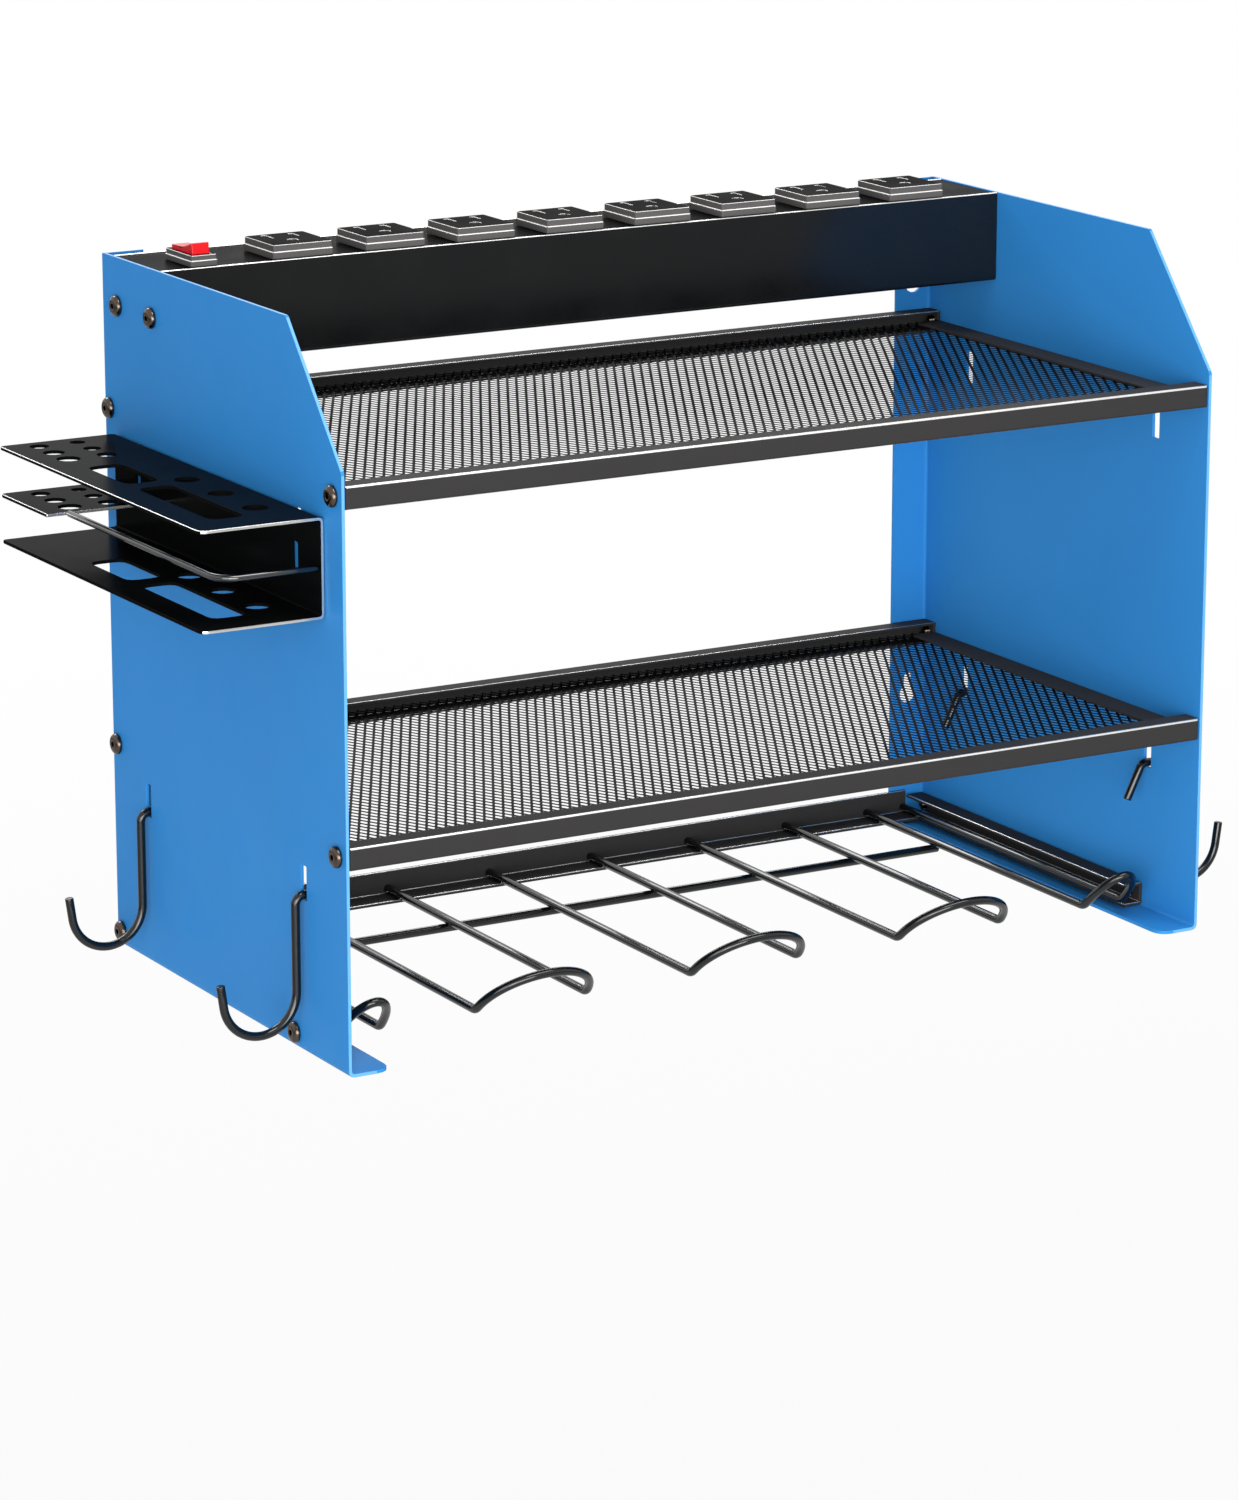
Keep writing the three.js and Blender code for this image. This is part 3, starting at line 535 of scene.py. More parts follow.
def turned(
    name: str,
    profile: np.ndarray,
    place: Sequence[float],
    axis: Axis,
    facing: int = 1,
    six: np.ndarray | None = None,
    hollow: bool = False,
    sides: int = 48,
) -> bpy.types.Object:
    """A turned piece, with some of its rings hexagonal where a socket is wanted.

    A ring's radius is the profile's radius, or for a hexagonal ring that radius times cos 30° over
    the cosine of the angle from the nearest flat's middle, which is a hexagon with its corners at
    the profile's radius.

    Args:
        name: The piece's name.
        profile: Radius and height of each ring in millimetres.
        place: The point where radius and height are zero, in millimetres.
        axis: The axis that the piece is turned about.
        facing: 1 where heights run along the axis, and -1 where they run against it.
        six: For each ring, 1 where it is hexagonal and 0 where it is round.
        hollow: Whether the profile closes on itself round a bore.
        sides: Points in a ring, a multiple of six.

    Returns:
        The object.
    """
    first, second, along = np.array(axis.value, float)
    t = np.linspace(0, TURN, sides, endpoint=False)
    flat_half = np.pi / 6
    hexagon = math.cos(flat_half) / np.cos((t + flat_half) % (2 * flat_half) - flat_half)
    share = np.zeros(len(profile)) if six is None else six
    radii = profile[:, :1] * (1 + share[:, None] * (hexagon - 1))
    rings = radii[..., None] * (np.cos(t)[:, None] * first + np.sin(t)[:, None] * second)
    heights = profile[:, 1][:, None, None] * along * facing
    return skin(name, rings + heights + np.asarray(place, float), hollow=hollow)


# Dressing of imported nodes


def box_mm(node: str) -> tuple[np.ndarray, np.ndarray]:
    """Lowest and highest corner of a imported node, in millimetres."""
    low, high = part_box(node)
    return np.array(low) / MM, np.array(high) / MM


def stand_for(
    piece: bpy.types.Object, node: str, finish: Finish, edge: Finish | None = None
) -> None:
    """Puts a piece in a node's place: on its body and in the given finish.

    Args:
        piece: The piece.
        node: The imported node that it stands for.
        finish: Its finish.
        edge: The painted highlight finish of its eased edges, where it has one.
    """
    piece.data.materials.clear()
    for each in (finish, edge):
        if each is not None:
            piece.data.materials.append(each.material())
    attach(piece, frame["nodes"][node]["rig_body"])
    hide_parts(node)
    log.info("%s stands for %s", piece.name, node)


def read(items: Sequence[Any], name: str, kind: type = float, width: int = 1) -> np.ndarray:
    """Reads one value of each vertex, edge, loop or face of a mesh.

    Args:
        items: The mesh's vertices, edges, loops or polygons.
        name: The value's name.
        kind: The type of its numbers.
        width: How many numbers it has.

    Returns:
        The values, in rows where the width is over 1.
    """
    values = np.empty(len(items) * width, kind)
    items.foreach_get(name, values)
    return values.reshape(-1, width) if width > 1 else values


@dataclass(frozen=True)
class Easing:
    """How the sharp edges of a piece are eased, and which narrow faces take a painted highlight.

    Ways are directions. An edge looks along the mean of its two faces' normals. A face's width is
    taken as twice its area over the length of its outline, which is right for a long strip. The
    painted highlight goes on narrow faces that look one of the painted highlight ways, where light
    would catch them. Outer means that only faces with nothing of the piece further out along their
    own normal get it, so the walls of holes don't; the slack is how much further out still counts
    as nothing.
    """

    width: float
    bold_width: float = 0.0
    bold_ways: tuple[Way, ...] = ()
    bright_ways: tuple[Way, ...] = ()
    within: float = 30.0
    narrowest: float = 0.0
    widest: float = 1.6
    outer: bool = False
    slack: float = 0.5
    segments: int = 2

    def looks(self, normals: np.ndarray, ways: Sequence[Way]) -> np.ndarray:
        """Whether each of some unit vectors, given in rows, is near one of the ways."""
        nearest = (normals @ unit(np.array(ways, float)).T).max(-1)
        return nearest > math.cos(math.radians(self.within))

    def cut(self, work: bmesh.types.BMesh, angle: float) -> None:
        """Rounds the sharp edges, first those that look the bold ways and then the rest.

        Args:
            work: The mesh, which is changed.
            angle: Edges that turn by more degrees than this are sharp.
        """
        rounds = [(angle, self.width, False)]
        if self.bold_ways:
            rounds = [(angle, self.bold_width, True), (SHEET_SHARP, self.width, False)]
        for least, width, bold in rounds:
            work.normal_update()
            sharp = [each for each in work.edges if each.calc_face_angle(0) > math.radians(least)]
            if bold:
                pairs = [each.link_faces for each in sharp]
                means = unit(np.array([pair[0].normal + pair[1].normal for pair in pairs]))
                fits = self.looks(means, self.bold_ways)
                sharp = [each for each, fit in zip(sharp, fits, strict=True) if fit]
            bmesh.ops.bevel(
                work, geom=sharp, offset=width * MM, segments=self.segments, profile=0.5,
                affect="EDGES", loop_slide=True,
            )

    def bright(self, mesh: bpy.types.Mesh) -> np.ndarray:
        """Picks the faces that take the painted highlight.

        Args:
            mesh: The eased mesh, in metres.

        Returns:
            Whether each face is a narrow one that looks a painted highlight way, where light would
            catch it.
        """
        normals = read(mesh.polygons, "normal", width=3)
        areas = read(mesh.polygons, "area")
        starts = read(mesh.polygons, "loop_start", int)
        spots = read(mesh.vertices, "co", width=3)
        pairs = read(mesh.edges, "vertices", int, 2)
        used = read(mesh.loops, "edge_index", int)
        ends = spots[pairs]
        lengths = np.linalg.norm(ends[:, 0] - ends[:, 1], axis=-1)
        wide = 2 * areas / np.add.reduceat(lengths[used], starts) / MM
        chosen = self.looks(normals, self.bright_ways)
        chosen &= (wide >= self.narrowest) & (wide < self.widest)
        if self.outer and chosen.any():
            corner = spots[pairs[used[starts[chosen]], 0]]
            reach = (spots @ normals[chosen].T).max(0)
            chosen[chosen] = reach - (corner * normals[chosen]).sum(-1) < self.slack * MM
        return chosen


def eased(
    node: str,
    word: str,
    easing: Easing,
    finish: Finish,
    edge: Finish | None = None,
    painted_shade_top: Finish | None = None,
    angle: float = 32.0,
) -> None:
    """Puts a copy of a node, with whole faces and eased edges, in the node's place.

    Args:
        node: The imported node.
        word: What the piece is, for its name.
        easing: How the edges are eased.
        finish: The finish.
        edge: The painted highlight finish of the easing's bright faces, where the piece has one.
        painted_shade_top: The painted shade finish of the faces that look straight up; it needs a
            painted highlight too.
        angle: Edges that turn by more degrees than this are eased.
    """
    name = f"{node}_{word}"
    mesh = frame["nodes"][node].data.copy()
    mesh.name = name
    work = bmesh.new()
    work.from_mesh(mesh)
    bmesh.ops.remove_doubles(work, verts=work.verts, dist=MERGE_REACH)
    flat = math.radians(FLAT_TURN)
    bmesh.ops.dissolve_limit(work, angle_limit=flat, verts=work.verts, edges=work.edges)
    easing.cut(work, angle)
    for face in work.faces:
        face.smooth = True
    work.to_mesh(mesh)
    work.free()
    mesh.set_sharp_from_angle(angle=math.radians(SHEET_SHARP))
    piece = add_object(name, mesh)
    stand_for(piece, node, finish, edge)
    if edge is not None:
        # Narrow faces that look the painted highlight ways take the painted highlight; where a painted
        # shade is given, faces that look straight up take that instead.
        slots = easing.bright(mesh).astype(np.int32)
        if painted_shade_top is not None:
            mesh.materials.append(painted_shade_top.material())
            painted_shade_tops = read(mesh.polygons, "normal", width=3)[:, 2] > UPWARD
            slots[painted_shade_tops] = len(mesh.materials) - 1
        mesh.polygons.foreach_set("material_index", slots)
    shading = piece.modifiers.new("flat_face_shading", "WEIGHTED_NORMAL")
    shading.mode = "FACE_AREA"
    shading.weight = LARGE_FACE_WEIGHT
    shading.keep_sharp = True


# Sub-assemblies


@dataclass
class SidePanels:
    """The two bent side panels, with their slots, keyholes, wall flanges and feet."""

    easing: Easing = Easing(
        0.12, bright_ways=((0, -1, 0), (0, -0.65, 0.76), (0, 0, 1)), narrowest=1.0, outer=True
    )

    def build(self) -> None:
        """Eases both panels and gives them the blue coat, with a painted highlight on the narrow edges
        that look forward or up.
        """
        for hand in Hand:
            node = f"{hand.word}_side_panel"
            eased(node, "sheet", self.easing, POWDER_BLUE, POWDER_BLUE_PAINTED_HIGHLIGHT)


@dataclass
class ExpandedMesh:
    """A sheet of expanded steel: diamonds in staggered rows, long way across the shelf's depth.

    A diamond's cell is a rhombus. Its opening is the same rhombus, drawn in by half a strand on
    each side, with the two acute corners cut off where the strands bond. The strands lean: an
    opening's rear corners lie higher than its front ones.
    """

    short_way: float = 4.6
    long_way: float = 8.5
    strand: float = 1.1
    bond: float = 0.5
    thickness: float = 0.28
    lean: float = 0.12
    decimals: int = 4

    def centres(self, low: np.ndarray, high: np.ndarray) -> np.ndarray:
        """Places the whole cells that fit between two corners, as two staggered lattices.

        Args:
            low: Lowest corner in millimetres.
            high: Highest corner in millimetres.

        Returns:
            X and Y of each cell's centre.
        """
        pitch = np.array([self.short_way, self.long_way])
        middle = (low[:2] + high[:2]) / 2
        reach = (high[:2] - low[:2]) / 2
        found = []
        for stagger in (0.0, 0.5):
            extra = 1 if stagger else 0
            counts = np.floor(reach / pitch - 0.5 - stagger).astype(int) + extra
            steps = [np.arange(-n - extra, n + 1) + stagger for n in counts]
            x, y = np.meshgrid(*steps, indexing="ij")
            found.append(np.stack([x, y], -1).reshape(-1, 2) * pitch + middle)
        return np.concatenate(found)

    def cell(self) -> np.ndarray:
        """Draws one cell about its centre: 4 points of its outline and 6 of its opening.

        Returns:
            X, Y and rise of each point in millimetres.
        """
        a, b = self.short_way / 2, self.long_way / 2
        outline = np.array([[a, 0], [0, b], [-a, 0], [0, -b]])
        shrink = 1 - (self.strand / 2) * math.hypot(a, b) / (a * b)
        side, cut = a * shrink, self.bond / 2
        tip = b * shrink - cut * b / a
        half = np.array([[side, 0], [cut, tip], [-cut, tip]])
        opening = np.concatenate([half, -half])
        rise = np.concatenate([np.zeros(len(outline)), self.lean * opening[:, 1] / b])
        return np.column_stack([np.concatenate([outline, opening]), rise])

    def faces(self, numbers: np.ndarray) -> list[list[int]]:
        """Joins the points of all cells to faces: both sides, the openings' walls and the rim.

        An outline's edge that only one cell has is part of the sheet's rim.

        Args:
            numbers: The number of each point, as top and underside × cells × points of a cell.

        Returns:
            The point numbers of each face.
        """
        strands = np.array([[0, 1, 5, 4], [1, 2, 7, 6], [2, 3, 8, 7], [3, 0, 4, 9]])
        bonds = np.array([[1, 6, 5], [3, 9, 8]])
        walls = np.array([[4, 5], [5, 6], [6, 7], [7, 8], [8, 9], [9, 4]])
        around = np.array([[0, 1], [1, 2], [2, 3], [3, 0]])
        top, under = numbers
        quads = [level[:, strands].reshape(-1, 4) for level in numbers]
        threes = [level[:, bonds].reshape(-1, 3) for level in numbers]
        inner = np.concatenate([top[:, walls], under[:, walls[:, ::-1]]], -1).reshape(-1, 4)
        edges = [level[:, around].reshape(-1, 2) for level in numbers]
        _, where, times = np.unique(
            np.sort(edges[0], -1), axis=0, return_index=True, return_counts=True
        )
        lone = where[times == 1]
        rim = np.concatenate([edges[0][lone], edges[1][lone][:, ::-1]], -1)
        return [*np.concatenate([*quads, inner, rim]).tolist(), *np.concatenate(threes).tolist()]

    def build(self, node: str) -> None:
        """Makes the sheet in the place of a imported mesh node.

        Outline points that neighbouring cells share are merged, and so are their numbers.

        Args:
            node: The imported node.
        """
        low, high = box_mm(node)
        centres, cell = self.centres(low, high), self.cell()
        plan = np.round(centres[:, None] + cell[:, :2], self.decimals)
        heights = (high[2] - self.lean + cell[:, 2])[None, :, None]
        upper = np.concatenate([plan, np.broadcast_to(heights, (*plan.shape[:2], 1))], -1)
        lower = upper - np.array([0, 0, self.thickness])
        points = np.round(np.stack([upper, lower]).reshape(-1, 3), self.decimals)
        points, numbers = np.unique(points, axis=0, return_inverse=True)
        faces = self.faces(numbers.reshape(2, *plan.shape[:2]))
        stand_for(put_mesh(f"{node}_strands", points, faces), node, MESH_BLACK)


@dataclass
class ShelfLevel:
    """One shelf: front and rear rail, two rims and the expanded mesh between them."""

    level: str
    easing: Easing = Easing(0.28, bright_ways=((0, -1, 1),), within=24.0, widest=1.2)
    sheet: ExpandedMesh = field(default_factory=ExpandedMesh)

    def build(self) -> None:
        """Eases the rails and rims and makes the mesh."""
        # The rails take a painted highlight on their top front fold, where light catches it; the rims
        # don't.
        for piece in ("front_rail", "rear_rail"):
            eased(f"{self.level}_shelf_{piece}", "sheet", self.easing, POWDER_BLACK, BLACK_PAINTED_HIGHLIGHT)
        for piece in ("left_rim", "right_rim"):
            eased(f"{self.level}_shelf_{piece}", "sheet", self.easing, POWDER_BLACK)
        self.sheet.build(f"{self.level}_shelf_mesh")


@dataclass
class CordGland:
    """The gland under the tray: a flange, a ribbed sleeve and a bore from below."""

    bore: float = 3.4
    neck_radius: float = 5.0
    neck_height: float = 3.2
    flange_radius: float = 7.9
    flange_height: float = 2.4
    flange_chamfer: float = 0.5
    tip_radius: float = 5.5
    tip_chamfer: float = 0.6
    mouth_chamfer: float = 0.4
    ribs: int = 4
    rib_height: float = 0.25
    sleeve_points: int = 33

    def build(self) -> None:
        """Turns the gland; its sleeve's radius is a cosine of the place along it."""
        node = "cord_gland"
        low, high = box_mm(node)
        top, bottom = high[2], low[2]
        under = top - self.neck_height
        rim = under - self.flange_height
        mouth = bottom + self.mouth_chamfer
        along = np.linspace(0, 1, self.sleeve_points)
        bore = [[self.bore, top], [self.bore, mouth], [self.bore + self.mouth_chamfer, bottom]]
        tip = [[self.tip_radius - self.tip_chamfer, bottom]]
        ridge = self.tip_radius + self.rib_height * (np.cos(TURN * self.ribs * along) - 1)
        sleeve = np.stack([ridge, mouth + along * (rim - mouth)], -1)
        radius, chamfer = self.flange_radius, self.flange_chamfer
        flange = [[radius - chamfer, rim], [radius, rim + chamfer], [radius, under]]
        neck = [[self.neck_radius, under], [self.neck_radius, top]]
        profile = np.concatenate([bore, tip, sleeve, flange, neck])
        x, y = (low[:2] + high[:2]) / 2
        piece = turned(f"{node}_moulding", profile, (x, y, 0.0), Axis.Z, hollow=True)
        stand_for(piece, node, CASE_BLACK)


@dataclass
class PowerStrip:
    """The tray, the strip's case, its outlets, the switch and the cord gland."""

    outlets: int = 8
    sheet_easing: Easing = Easing(0.12, 0.35, ((0, -1, 1),), ((0, 0, 1), (0, -1, 1)), widest=1.3)
    case_easing: Easing = Easing(0.15)
    outlet_easing: Easing = Easing(
        0.2, bright_ways=((0, -1, 1), (-1, 0, 1), (1, 0, 1), (0, 1, 1)), widest=0.4
    )
    rocker_easing: Easing = Easing(0.5)
    rocker_angle: float = 40.0
    gland: CordGland = field(default_factory=CordGland)

    def build(self) -> None:
        """Eases the sheet and moulded pieces, and turns the gland."""
        # The tray takes a painted highlight on its narrow faces that look up or up and forward.
        eased("power_strip_tray", "sheet", self.sheet_easing, GLOSS_BLACK, BLACK_PAINTED_HIGHLIGHT)
        eased("power_strip_case", "moulding", self.case_easing, CASE_BLACK)
        # The outlets and switch frame take a painted highlight on narrow edges that look up, and a
        # painted shade on faces that look straight up.
        for node in [*(f"outlet_{number + 1}" for number in range(self.outlets)), "switch_frame"]:
            eased(node, "moulding", self.outlet_easing, OUTLET_GREY, OUTLET_PAINTED_HIGHLIGHT, OUTLET_PAINTED_SHADE_TOP)
        angle = self.rocker_angle
        eased("switch_rocker", "moulding", self.rocker_easing, ROCKER_RED, angle=angle)
        self.gland.build()


@dataclass
class DrillRack:
    """Side rails, rear bar, cross wire and the five bent fingers that carry the drills.

    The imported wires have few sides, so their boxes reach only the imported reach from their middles.
    A finger's leg has a few points up to the leg stop, measured back from the knee, and close ones
    from the knee's start to its end.
    """

    easing: Easing = Easing(0.3, bright_ways=((0, -1, 1), (-1, 0, 1)), within=24.0, widest=1.2)
    wire: float = 1.95
    packed_reach: float = 1.85
    fingers: int = 5
    knee_y: float = -187.0
    knee_radius: float = 6.0
    knee_start: float = 3.2
    knee_end: float = 0.2
    knee_points: int = 12
    leg_stop: float = 4.0
    leg_points: int = 4
    arch_height: float = 24.0
    arch_tilt: float = 45.0
    arch_points: int = 65
    cross_points: int = 4

    def finger_path(self, low: np.ndarray, high: np.ndarray) -> np.ndarray:
        """Draws the centre line of a finger.

        It is drawn flat as two parallel legs joined by half an ellipse, and the flat is then bent
        up about a cylinder of the knee's radius: s runs along the flat from the knee, and the bend
        takes the arch tilt in equal shares of s.

        Args:
            low: Lowest corner of the finger's box.
            high: Highest corner of the finger's box.

        Returns:
            The points of the path in millimetres.
        """
        middle, reach = (low[0] + high[0]) / 2, (high[0] - low[0]) / 2 - self.packed_reach
        straight = np.linspace(high[1] - self.knee_y, self.leg_stop, self.leg_points)
        knee = np.linspace(self.knee_start, self.knee_end, self.knee_points)
        legs = -np.concatenate([straight, knee])
        t = np.linspace(0, np.pi, self.arch_points)
        left, right = np.full(len(legs), middle - reach), np.full(len(legs), middle + reach)
        x = np.concatenate([left, middle - reach * np.cos(t), right])
        s = np.concatenate([legs, self.arch_height * np.sin(t), legs[::-1]])
        tilt = math.radians(self.arch_tilt)
        edge = self.knee_radius * math.tan(tilt / 2)
        turn = np.clip((s + edge) / (2 * edge), 0, 1) * tilt
        before, after = np.minimum(s + edge, 0), np.maximum(s - edge, 0)
        across = before + self.knee_radius * np.sin(turn) + after * math.cos(tilt)
        rise = self.knee_radius * (1 - np.cos(turn)) + after * math.sin(tilt)
        y, z = self.knee_y + edge - across, low[2] + self.packed_reach + rise
        return np.stack([x, y, z], -1)

    def build(self) -> None:
        """Eases the sheet pieces and bends the wires."""
        # The rails and rear bar take a painted highlight on narrow faces that look up and forward or
        # up and left.
        for piece in ("left_rail", "right_rail", "rear_bar"):
            eased(f"drill_rack_{piece}", "sheet", self.easing, POWDER_BLACK, BLACK_PAINTED_HIGHLIGHT)
        for number in range(self.fingers):
            node = f"drill_finger_{number + 1}"
            path = self.finger_path(*box_mm(node))
            stand_for(tube(f"{node}_wire", path, self.wire, (0, 1, 1)), node, WIRE_BLACK)
        node = "drill_rack_cross_wire"
        low, high = box_mm(node)
        middle = (low[1:] + high[1:]) / 2
        start, end = (np.array([x, *middle]) for x in (low[0], high[0]))
        path = start + np.linspace(0, 1, self.cross_points)[:, None] * (end - start)
        stand_for(tube(f"{node}_wire", path, self.wire, (0, 0, 1)), node, WIRE_BLACK)


@dataclass
class SideRack:
    """The hand-tool rack on the left panel: a bent shell, a drill-bit shelf and a wire."""

    easing: Easing = Easing(0.28, bright_ways=((0, -1, 0), (-1, 0, 1)), within=40.0, outer=True)
    wire: float = 1.46
    packed_reach: float = 1.4
    wire_bend: float = 9.0

    def build(self) -> None:
        """Eases the sheets and bends the wire."""
        # The shell and bit shelf take a painted highlight on their outer narrow edges that look
        # forward or up and left.
        for piece in ("shell", "bit_shelf"):
            eased(f"side_rack_{piece}", "sheet", self.easing, RACK_BLACK, BLACK_PAINTED_HIGHLIGHT)
        node = "side_rack_wire"
        low, high = box_mm(node)
        x, y = low[:2] + self.packed_reach
        z = (low[2] + high[2]) / 2
        corners = np.array([[high[0], y, z], [x, y, z], [x, high[1], z]])
        path = bent_path(corners, [self.wire_bend])
        stand_for(tube(f"{node}_rod", path, self.wire, (0, 0, 1)), node, RACK_WIRE)


@dataclass
class PanelHooks:
    """The four J hooks, hung by their inner legs in the panels' lower slots."""

    wire: float = 1.9
    panel_face: float = 215.0
    panel_sheet: float = 1.5
    shoulder: float = 69.3
    standoff: float = 4.0
    shoulder_radius: float = 4.0
    leg_stop: float = 0.5
    cup_radius: float = 17.0
    cup_height: float = 28.0
    cup_points: int = 40
    tip_height: float = 10.0
    tip_lean: float = 8.0
    inner_lean: float = 26.0
    inner_length: float = 18.0
    inner_out: float = 3.0

    def path(self, hand: Hand, y: float) -> np.ndarray:
        """Draws a hook's centre line.

        It is an inner leg, a shoulder through the slot, an outer leg that stops just above the
        cup, part of a circle for the cup, and a leaning tip.

        Args:
            hand: The side that the hook hangs on.
            y: The plane that it lies in, in millimetres.

        Returns:
            The points of the path in millimetres.
        """
        lean, tip = math.radians(self.inner_lean), math.radians(self.tip_lean)
        inner = self.panel_face - self.panel_sheet - self.inner_out
        leg = self.panel_face + self.standoff
        end_x = inner - self.inner_length * math.sin(lean)
        end_z = self.shoulder - self.inner_length * math.cos(lean)
        corners = np.array([
            [end_x, end_z],
            [inner, self.shoulder],
            [leg, self.shoulder],
            [leg, self.cup_height + self.leg_stop],
        ])
        straight = bent_path(corners, [self.shoulder_radius] * 2)
        t = np.linspace(0, math.pi - tip, self.cup_points)
        cup_x = leg + self.cup_radius * (1 - np.cos(t))
        cup = np.stack([cup_x, self.cup_height - self.cup_radius * np.sin(t)], -1)
        last = cup[-1:] + [[self.tip_height * math.sin(tip), self.tip_height]]
        plan = np.concatenate([straight, cup, last])
        return np.stack([plan[:, 0] * hand.value, np.full(len(plan), y), plan[:, 1]], -1)

    def build(self) -> None:
        """Bends the four hooks at their packed places."""
        for hand in Hand:
            for end in ("front", "rear"):
                node = f"{hand.word}_{end}_hook"
                low, high = box_mm(node)
                path = self.path(hand, (low[1] + high[1]) / 2)
                stand_for(tube(f"{node}_wire", path, self.wire, (0, 1, 0)), node, WIRE_BLACK)


@dataclass
class PanelBolts:
    """The sixteen button-head bolts: a domed head with a hexagon socket, and a threaded shank."""

    head_radius: float = 4.65
    head_height: float = 2.6
    rim_height: float = 0.7
    crown_radius: float = 2.1
    dome_points: int = 9
    socket_radius: float = 1.45
    socket_depth: float = 1.5
    socket_point: float = 0.35
    chamfer: float = 0.2
    closing_radius: float = 0.05
    shank_radius: float = 1.95
    shank_length: float = 5.8
    shank_chamfer: float = 0.5
    thread_pitch: float = 0.7
    thread_depth: float = 0.22
    thread_lead: float = 0.4
    thread_stop: float = 0.3
    thread_points: int = 41
    groups: tuple[str, ...] = ("upper_shelf", "lower_shelf", "tray", "drill_rack")

    def shank(self) -> np.ndarray:
        """Draws the shank, whose radius is a cosine of its length with the thread's pitch.

        Returns:
            Radius and height of each ring, from the shank's end to the head's underside.
        """
        start, stop = self.thread_lead - self.shank_length, -self.thread_stop
        along = np.linspace(start, stop, self.thread_points)
        wave = 0.5 - 0.5 * np.cos(TURN * along / self.thread_pitch)
        thread = np.stack([self.shank_radius - self.thread_depth * wave, along], -1)
        end_radii = (self.closing_radius, self.shank_radius - self.shank_chamfer)
        end = [[radius, -self.shank_length] for radius in end_radii]
        return np.concatenate([end, thread, [[self.shank_radius, 0.0]]])

    def head(self) -> np.ndarray:
        """Draws the head, whose dome is a quarter of an ellipse.

        Returns:
            Radius and height of each ring, from the head's underside to its crown.
        """
        t = np.linspace(0, np.pi / 2, self.dome_points)
        dome_r = self.crown_radius + (self.head_radius - self.crown_radius) * np.cos(t)
        dome_h = self.rim_height + (self.head_height - self.rim_height) * np.sin(t)
        under = [[self.head_radius - self.chamfer, 0.0], [self.head_radius, self.chamfer]]
        return np.concatenate([under, np.stack([dome_r, dome_h], -1)])

    def profile(self) -> tuple[np.ndarray, np.ndarray]:
        """Draws the whole bolt, from the shank's end to the socket's floor.

        Returns:
            Radius and height of each ring, and 1 for each that is hexagonal.
        """
        outside = np.concatenate([self.shank(), self.head()])
        floor = self.head_height - self.socket_depth
        mouth = [[self.socket_radius + self.chamfer, self.head_height]]
        hexagonal = [
            [self.socket_radius, self.head_height - self.chamfer],
            [self.socket_radius, floor],
            [self.closing_radius, floor - self.socket_point],
        ]
        rows = np.concatenate([outside, mouth, hexagonal])
        six = np.zeros(len(rows))
        six[-len(hexagonal) :] = 1.0
        return rows, six

    def build(self) -> None:
        """Turns all bolts at their packed places."""
        profile, six = self.profile()
        for group in self.groups:
            for hand in Hand:
                for end in ("front", "rear"):
                    node = f"{group}_bolt_{hand.word}_{end}"
                    low, high = box_mm(node)
                    outermost = high[0] if hand is Hand.RIGHT else low[0]
                    seat = outermost - hand.value * self.head_height
                    place = (seat, *((low[1:] + high[1:]) / 2))
                    piece = turned(f"{node}_head", profile, place, Axis.X, hand.value, six)
                    stand_for(piece, node, NICKEL_DARK)


# Studio


@dataclass(frozen=True)
class Softbox:
    """A rectangular soft lamp: its middle, width and height in metres, and its power in watts."""

    name: str
    place: Way
    size: tuple[float, float]
    watts: float

    def build(self, aim: Way) -> None:
        """Puts the lamp in the scene.

        Args:
            aim: The point that it faces, in metres.
        """
        data = bpy.data.lights.new(self.name, "AREA")
        data.shape = "RECTANGLE"
        data.size, data.size_y = self.size
        data.energy = self.watts
        box = add_object(self.name, data)
        box.location = self.place
        ahead = Vector(aim) - Vector(self.place)
        box.rotation_euler = ahead.to_track_quat("-Z", "Y").to_euler()
        box.visible_camera = False


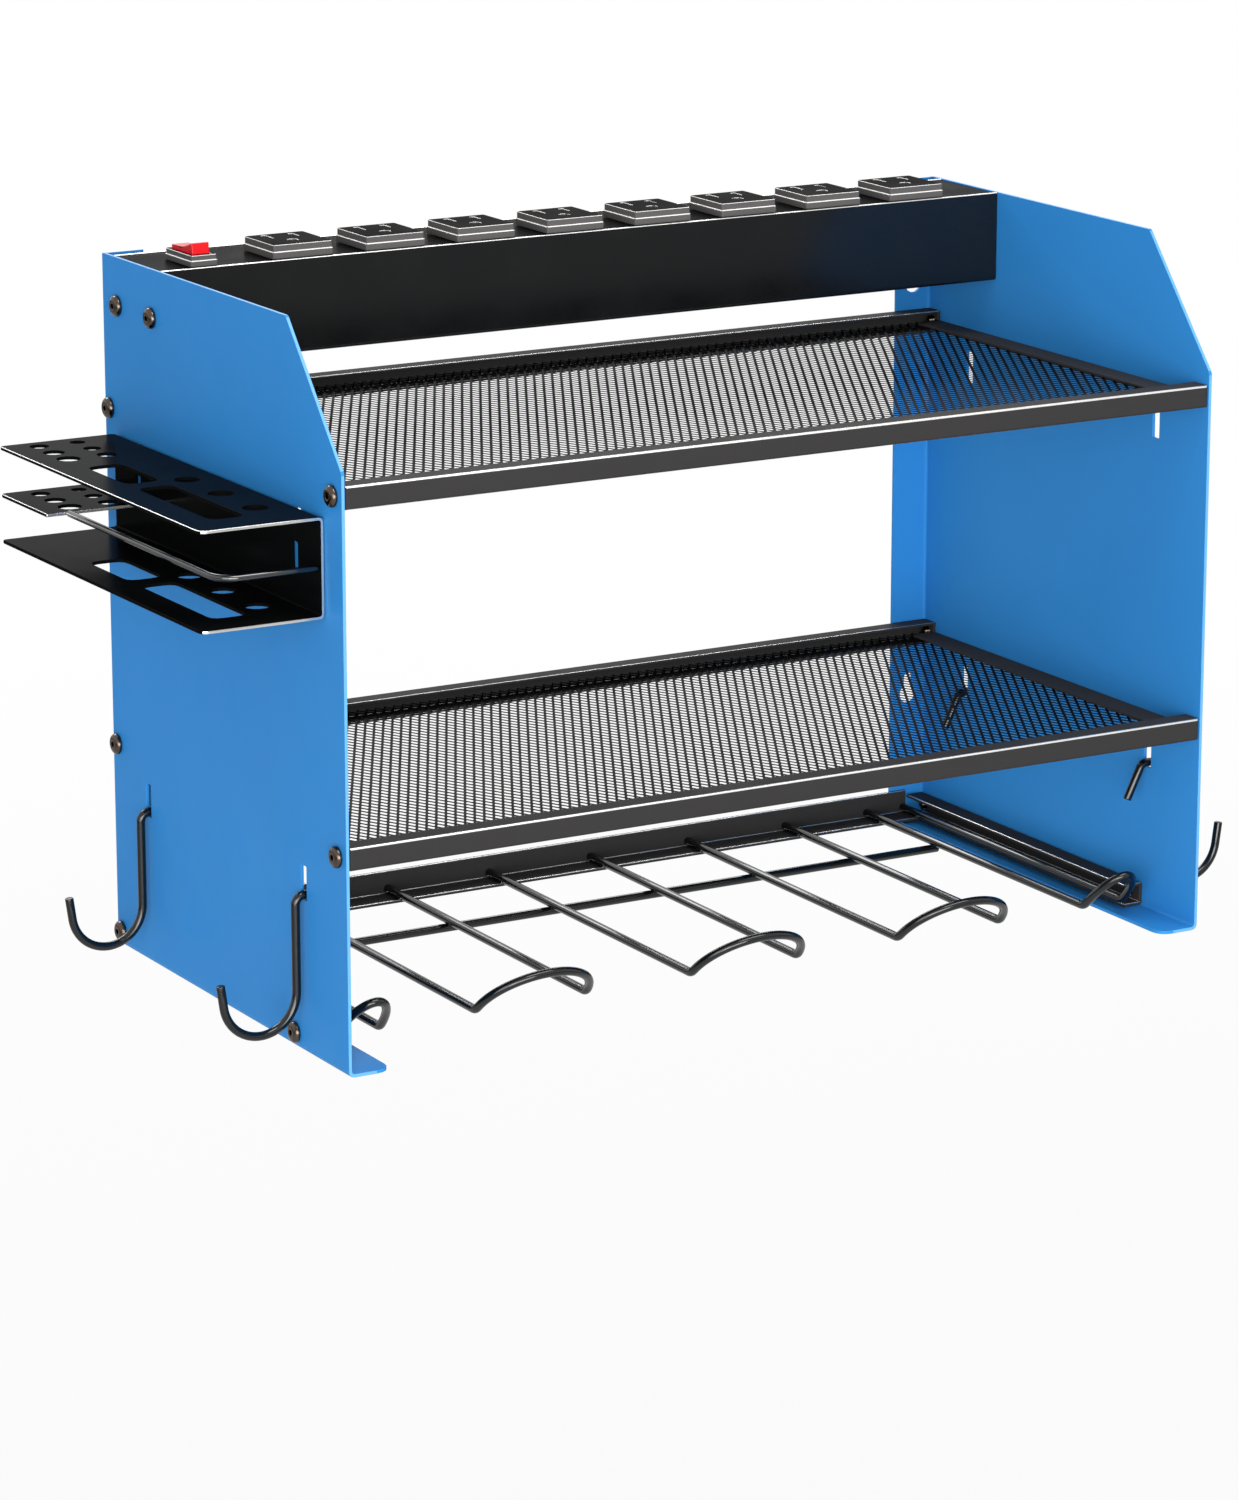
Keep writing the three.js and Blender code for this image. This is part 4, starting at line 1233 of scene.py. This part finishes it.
@dataclass
class Studio:
    """Camera, soft lamps, white world and pale floor; places and distances are metres.

    The floor turns from its near share of pure white to all of it between the two distances.
    """

    camera_place: Way = (-1.203227, -2.155148, 0.710478)
    yaw: float = 0.5249
    pitch: float = 0.2575
    lens: float = 132.09
    sensor: float = 36.0
    sight: float = 100.0
    ambient: float = 0.4
    white: str = "#ffffff"
    floor_colour: str = "#d0d0d0"
    floor_level: float = -0.55
    floor_reach: float = 16.0
    floor_points: int = 96
    floor_near: float = 0.6
    floor_far: float = 3.0
    floor_near_share: float = 0.8
    aim: Way = (0.0, -0.11, 0.16)
    lamps: tuple[Softbox, ...] = (
        Softbox("key_softbox", (-2.6, -2.5, 0.45), (2.2, 2.0), 57.0),
        Softbox("front_softbox", (-0.9, -2.8, 0.35), (1.8, 1.2), 56.0),
        Softbox("back_softbox", (0.45, 2.2, 2.0), (3.0, 0.8), 60.0),
        Softbox("top_softbox", (0.2, -1.0, 2.1), (1.6, 1.0), 34.0),
    )

    def camera(self) -> None:
        """Sets the camera; the sensor's millimetres lie along the frame's height."""
        data = bpy.data.cameras.new("camera")
        data.lens = self.lens
        data.sensor_width = self.sensor
        data.clip_end = self.sight
        eye = add_object("camera", data)
        level = math.cos(self.pitch)
        ahead = Vector(
            (math.sin(self.yaw) * level, math.cos(self.yaw) * level, -math.sin(self.pitch))
        )
        eye.location = self.camera_place
        eye.rotation_euler = ahead.to_track_quat("-Z", "Y").to_euler()
        bpy.context.scene.camera = eye

    def world(self) -> None:
        """White to the camera, in reflections and through glass, and lower even light elsewhere."""
        world = bpy.data.worlds.new("studio")
        bpy.context.scene.world = world
        tree = empty_tree(world)
        path = add_node(tree, "ShaderNodeLightPath")
        seen = path.outputs["Is Camera Ray"]
        for ray in ("Is Glossy Ray", "Is Transmission Ray"):
            either = {0: seen, 1: path.outputs[ray]}
            seen = add_node(tree, "ShaderNodeMath", {"operation": "MAXIMUM"}, either).outputs[0]
        levels = {"Value": seen, "To Min": self.ambient, "To Max": 1.0}
        level = add_node(tree, "ShaderNodeMapRange", None, levels).outputs[0]
        inputs = {"Color": linear(self.white), "Strength": level}
        light = add_node(tree, "ShaderNodeBackground", None, inputs)
        add_node(tree, "ShaderNodeOutputWorld", None, {"Surface": light.outputs[0]})

    def floor(self) -> None:
        """Lays a round pale floor, which turns to the world's white away from the organizer."""
        t = np.linspace(0, TURN, self.floor_points, endpoint=False)
        height = np.full(self.floor_points, self.floor_level)
        ring = np.stack([np.cos(t) * self.floor_reach, np.sin(t) * self.floor_reach, height], -1)
        mesh = bpy.data.meshes.new("floor")
        mesh.from_pydata(ring, [], [list(range(self.floor_points))])
        ground = add_object("floor", mesh)
        made = bpy.data.materials.new("pale_floor")
        tree = empty_tree(made)
        place = add_node(tree, "ShaderNodeTexCoord").outputs["Object"]
        length = add_node(tree, "ShaderNodeVectorMath", {"operation": "LENGTH"}, {0: place})
        fade = {
            "Value": length.outputs["Value"], "From Min": self.floor_near,
            "From Max": self.floor_far, "To Min": self.floor_near_share, "To Max": 1.0,
        }
        smooth = {"interpolation_type": "SMOOTHSTEP"}
        share = add_node(tree, "ShaderNodeMapRange", smooth, fade).outputs[0]
        path = add_node(tree, "ShaderNodeLightPath")
        factors = {0: share, 1: path.outputs["Is Camera Ray"]}
        seen = add_node(tree, "ShaderNodeMath", {"operation": "MULTIPLY"}, factors).outputs[0]
        matt = add_node(tree, "ShaderNodeBsdfDiffuse", None, {"Color": linear(self.floor_colour)})
        glow = {"Color": linear(self.white), "Strength": 1.0}
        bright = add_node(tree, "ShaderNodeEmission", None, glow)
        blend = {0: seen, 1: matt.outputs[0], 2: bright.outputs[0]}
        both = add_node(tree, "ShaderNodeMixShader", None, blend)
        add_node(tree, "ShaderNodeOutputMaterial", None, {"Surface": both.outputs[0]})
        mesh.materials.append(made)

    def build(self) -> None:
        """Sets up the whole studio."""
        bpy.context.scene.view_settings.view_transform = "Standard"
        self.camera()
        self.world()
        self.floor()
        for lamp in self.lamps:
            lamp.build(self.aim)


def main() -> None:
    """Builds the studio and the sub-assemblies."""
    logging.basicConfig(level=logging.INFO, format="%(message)s")
    shelves = [ShelfLevel(level) for level in ("upper", "lower")]
    rest = [PowerStrip(), DrillRack(), SideRack(), PanelHooks(), PanelBolts()]
    for part in [Studio(), SidePanels(), *shelves, *rest]:
        part.build()
        log.info("%s built", type(part).__name__)
    bpy.context.view_layer.update()


if __name__ == "__main__":
    main()
